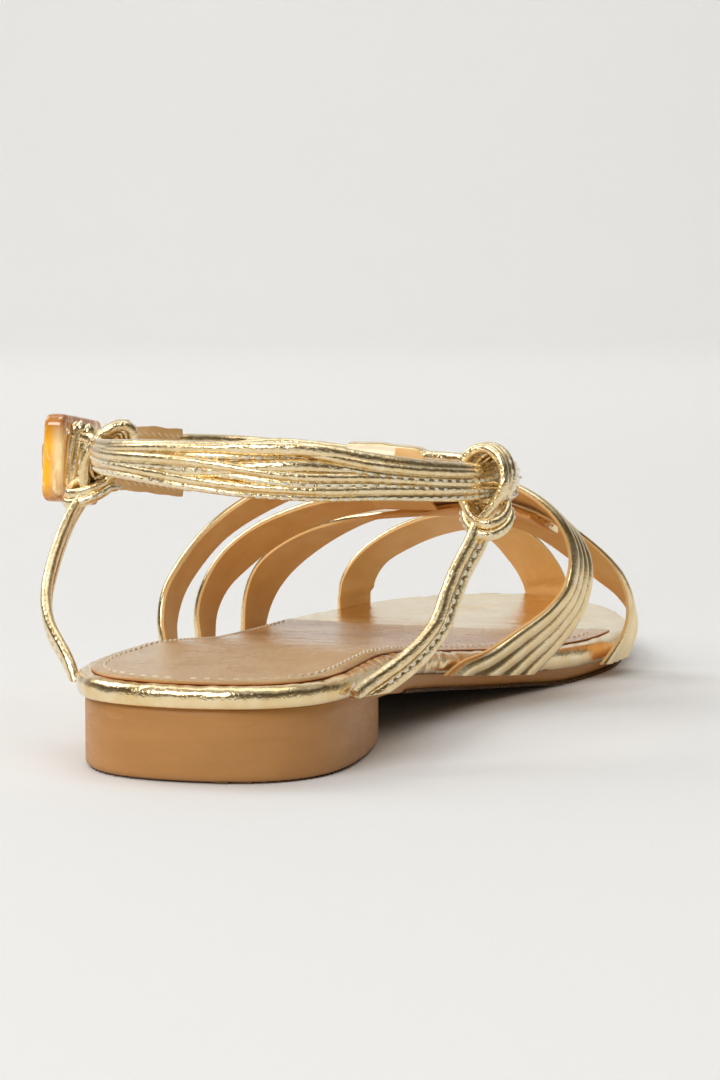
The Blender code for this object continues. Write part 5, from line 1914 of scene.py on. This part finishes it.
def build_camera(lens):
    """The camera, upright and without depth of field."""
    data = bpy.data.cameras.new("camera")
    data.sensor_fit = "VERTICAL"
    data.sensor_height = SENSOR_HEIGHT
    data.lens = lens
    camera = bpy.data.objects.new("camera", data)
    camera.location = CAMERA_PLACE
    turn_towards(camera, CAMERA_AIM)
    bpy.context.scene.collection.objects.link(camera)
    bpy.context.scene.camera = camera
    bpy.context.scene.view_settings.view_transform = "Standard"


def build_stage():
    """Floor with a backdrop, soft lights and the camera."""
    looks = bpy.context.scene.sandal_looks
    build_floor(tuple(looks.floor))
    build_room(looks.room_light)
    for light in LIGHTS:
        area_light(light.name, light.place, light.aim, light.size, getattr(looks, light.power))
    build_camera(looks.lens)


# ---------------------------------------------------------------- add-on


def colour_property(label, text, value):
    return bpy.props.FloatVectorProperty(
        name=label, description=text, subtype="COLOR", size=3, min=0, max=1, default=value
    )


def number_property(label, text, value, unit="NONE", least=0.0):
    return bpy.props.FloatProperty(name=label, description=text, default=value, min=least, unit=unit)


def length_property(label, text, value):
    """A length in metres, given here in millimetres."""
    return bpy.props.FloatProperty(
        name=label, description=text, default=value * MM, min=0.0, precision=5, unit="LENGTH"
    )


class SandalSizes(bpy.types.PropertyGroup):
    """Sizes that a user would change."""

    rib_height: length_property("Rib height", "How far a strap's padded ribs stand up", 0.95)
    lining_thickness: length_property("Lining thickness", "Thickness of the straps' tan lining", 0.9)
    cord_height: length_property("Cord height", "Height of each cord in the ankle strap", 2.8)
    cord_depth: length_property("Cord depth", "Depth of each cord in the ankle strap", 2.6)
    stitch_pitch: length_property("Stitch pitch", "From one stitch on the cords to the next", 2.5)
    stitch_length: length_property("Stitch length", "Length of each stitch on the cords", 1.75)
    thread: length_property("Thread thickness", "Thickness of the thread on the cords", 0.6)
    tab_thickness: length_property("Tab thickness", "Thickness of the ankle tab", 1.7)
    sock_thickness: length_property("Sock thickness", "Thickness of the sock on the footbed", 0.7)
    tread_pitch: length_property("Tread pitch", "From one tread bar to the next", 1.55)
    tread_depth: length_property("Tread depth", "Depth of the tread under the sole", 0.6)


class SandalLooks(bpy.types.PropertyGroup):
    """Colours and light that a user would change."""

    foil_light: colour_property("Foil light", "Gold foil where it is fresh", (0.92, 0.76, 0.48))
    foil_deep: colour_property("Foil deep", "Gold foil in its duller patches", (0.84, 0.62, 0.3))
    lining: colour_property("Lining", "Tan inside of the straps", (0.94, 0.56, 0.2))
    sock: colour_property("Sock", "Tan lining on the footbed", (0.6, 0.37, 0.15))
    floor: colour_property("Floor", "Pale floor and backdrop", (0.86, 0.855, 0.84))
    room_light: number_property("Room light", "Strength of the light from all round", 0.5)
    key_light: number_property("Key light", "Softbox at the left", 21.0, "POWER")
    top_light: number_property("Top light", "Panel above", 9.0, "POWER")
    fill_light: number_property("Fill light", "Softbox behind the heel", 24.0, "POWER")
    backdrop_light: number_property("Backdrop light", "Wash on the backdrop", 15.0, "POWER")
    lens: number_property("Lens", "Focal length of the camera", 104.0, "CAMERA", 20.0)


class SANDAL_OT_sole(bpy.types.Operator):
    """Builds the outsole with its tread and heel"""

    bl_idname = "sandal.sole"
    bl_label = "Sole"

    def execute(self, context):
        build_outsole()
        return {"FINISHED"}


class SANDAL_OT_footbed(bpy.types.Operator):
    """Builds the foil-wrapped footbed and its sock"""

    bl_idname = "sandal.footbed"
    bl_label = "Footbed"

    def execute(self, context):
        build_board()
        build_sock()
        return {"FINISHED"}


class SANDAL_OT_upper(bpy.types.Operator):
    """Builds the straps over the foot"""

    bl_idname = "sandal.upper"
    bl_label = "Foot straps"

    def execute(self, context):
        build_upper()
        return {"FINISHED"}


class SANDAL_OT_ankle(bpy.types.Operator):
    """Builds the corded ankle strap, its tab, keeper and side straps"""

    bl_idname = "sandal.ankle"
    bl_label = "Ankle strap"

    def execute(self, context):
        build_ankle_strap()
        build_ankle_tab()
        build_keeper()
        for side in ("medial", "lateral"):
            build_side_strap(side)
        return {"FINISHED"}


class SANDAL_OT_buckle(bpy.types.Operator):
    """Builds the buckle and its pin"""

    bl_idname = "sandal.buckle"
    bl_label = "Buckle"

    def execute(self, context):
        build_buckle()
        return {"FINISHED"}


class SANDAL_OT_stage(bpy.types.Operator):
    """Sets out the floor, lights and camera"""

    bl_idname = "sandal.stage"
    bl_label = "Stage"

    def execute(self, context):
        build_stage()
        return {"FINISHED"}


OPERATORS = (
    SANDAL_OT_sole,
    SANDAL_OT_footbed,
    SANDAL_OT_upper,
    SANDAL_OT_ankle,
    SANDAL_OT_buckle,
    SANDAL_OT_stage,
)


class SANDAL_PT_panel(bpy.types.Panel):
    """Lists the sandal's pieces, sizes and looks"""

    bl_idname = "SANDAL_PT_panel"
    bl_label = "Sandal"
    bl_space_type = "VIEW_3D"
    bl_region_type = "UI"
    bl_category = "Sandal"

    def draw(self, context):
        for operator in OPERATORS:
            self.layout.operator(operator.bl_idname)
        for group in (context.scene.sandal_sizes, context.scene.sandal_looks):
            for name in type(group).__annotations__:
                self.layout.prop(group, name)


CLASSES = (SandalSizes, SandalLooks, *OPERATORS, SANDAL_PT_panel)


def register():
    for cls in CLASSES:
        bpy.utils.register_class(cls)
    bpy.types.Scene.sandal_sizes = bpy.props.PointerProperty(type=SandalSizes)
    bpy.types.Scene.sandal_looks = bpy.props.PointerProperty(type=SandalLooks)


def unregister():
    del bpy.types.Scene.sandal_looks
    del bpy.types.Scene.sandal_sizes
    for cls in reversed(CLASSES):
        bpy.utils.unregister_class(cls)


def main():
    """Builds the sandal and its stage."""
    register()
    bpy.ops.sandal.sole()
    bpy.ops.sandal.footbed()
    bpy.ops.sandal.upper()
    bpy.ops.sandal.ankle()
    bpy.ops.sandal.buckle()
    bpy.ops.sandal.stage()


if __name__ == "__main__":
    main()
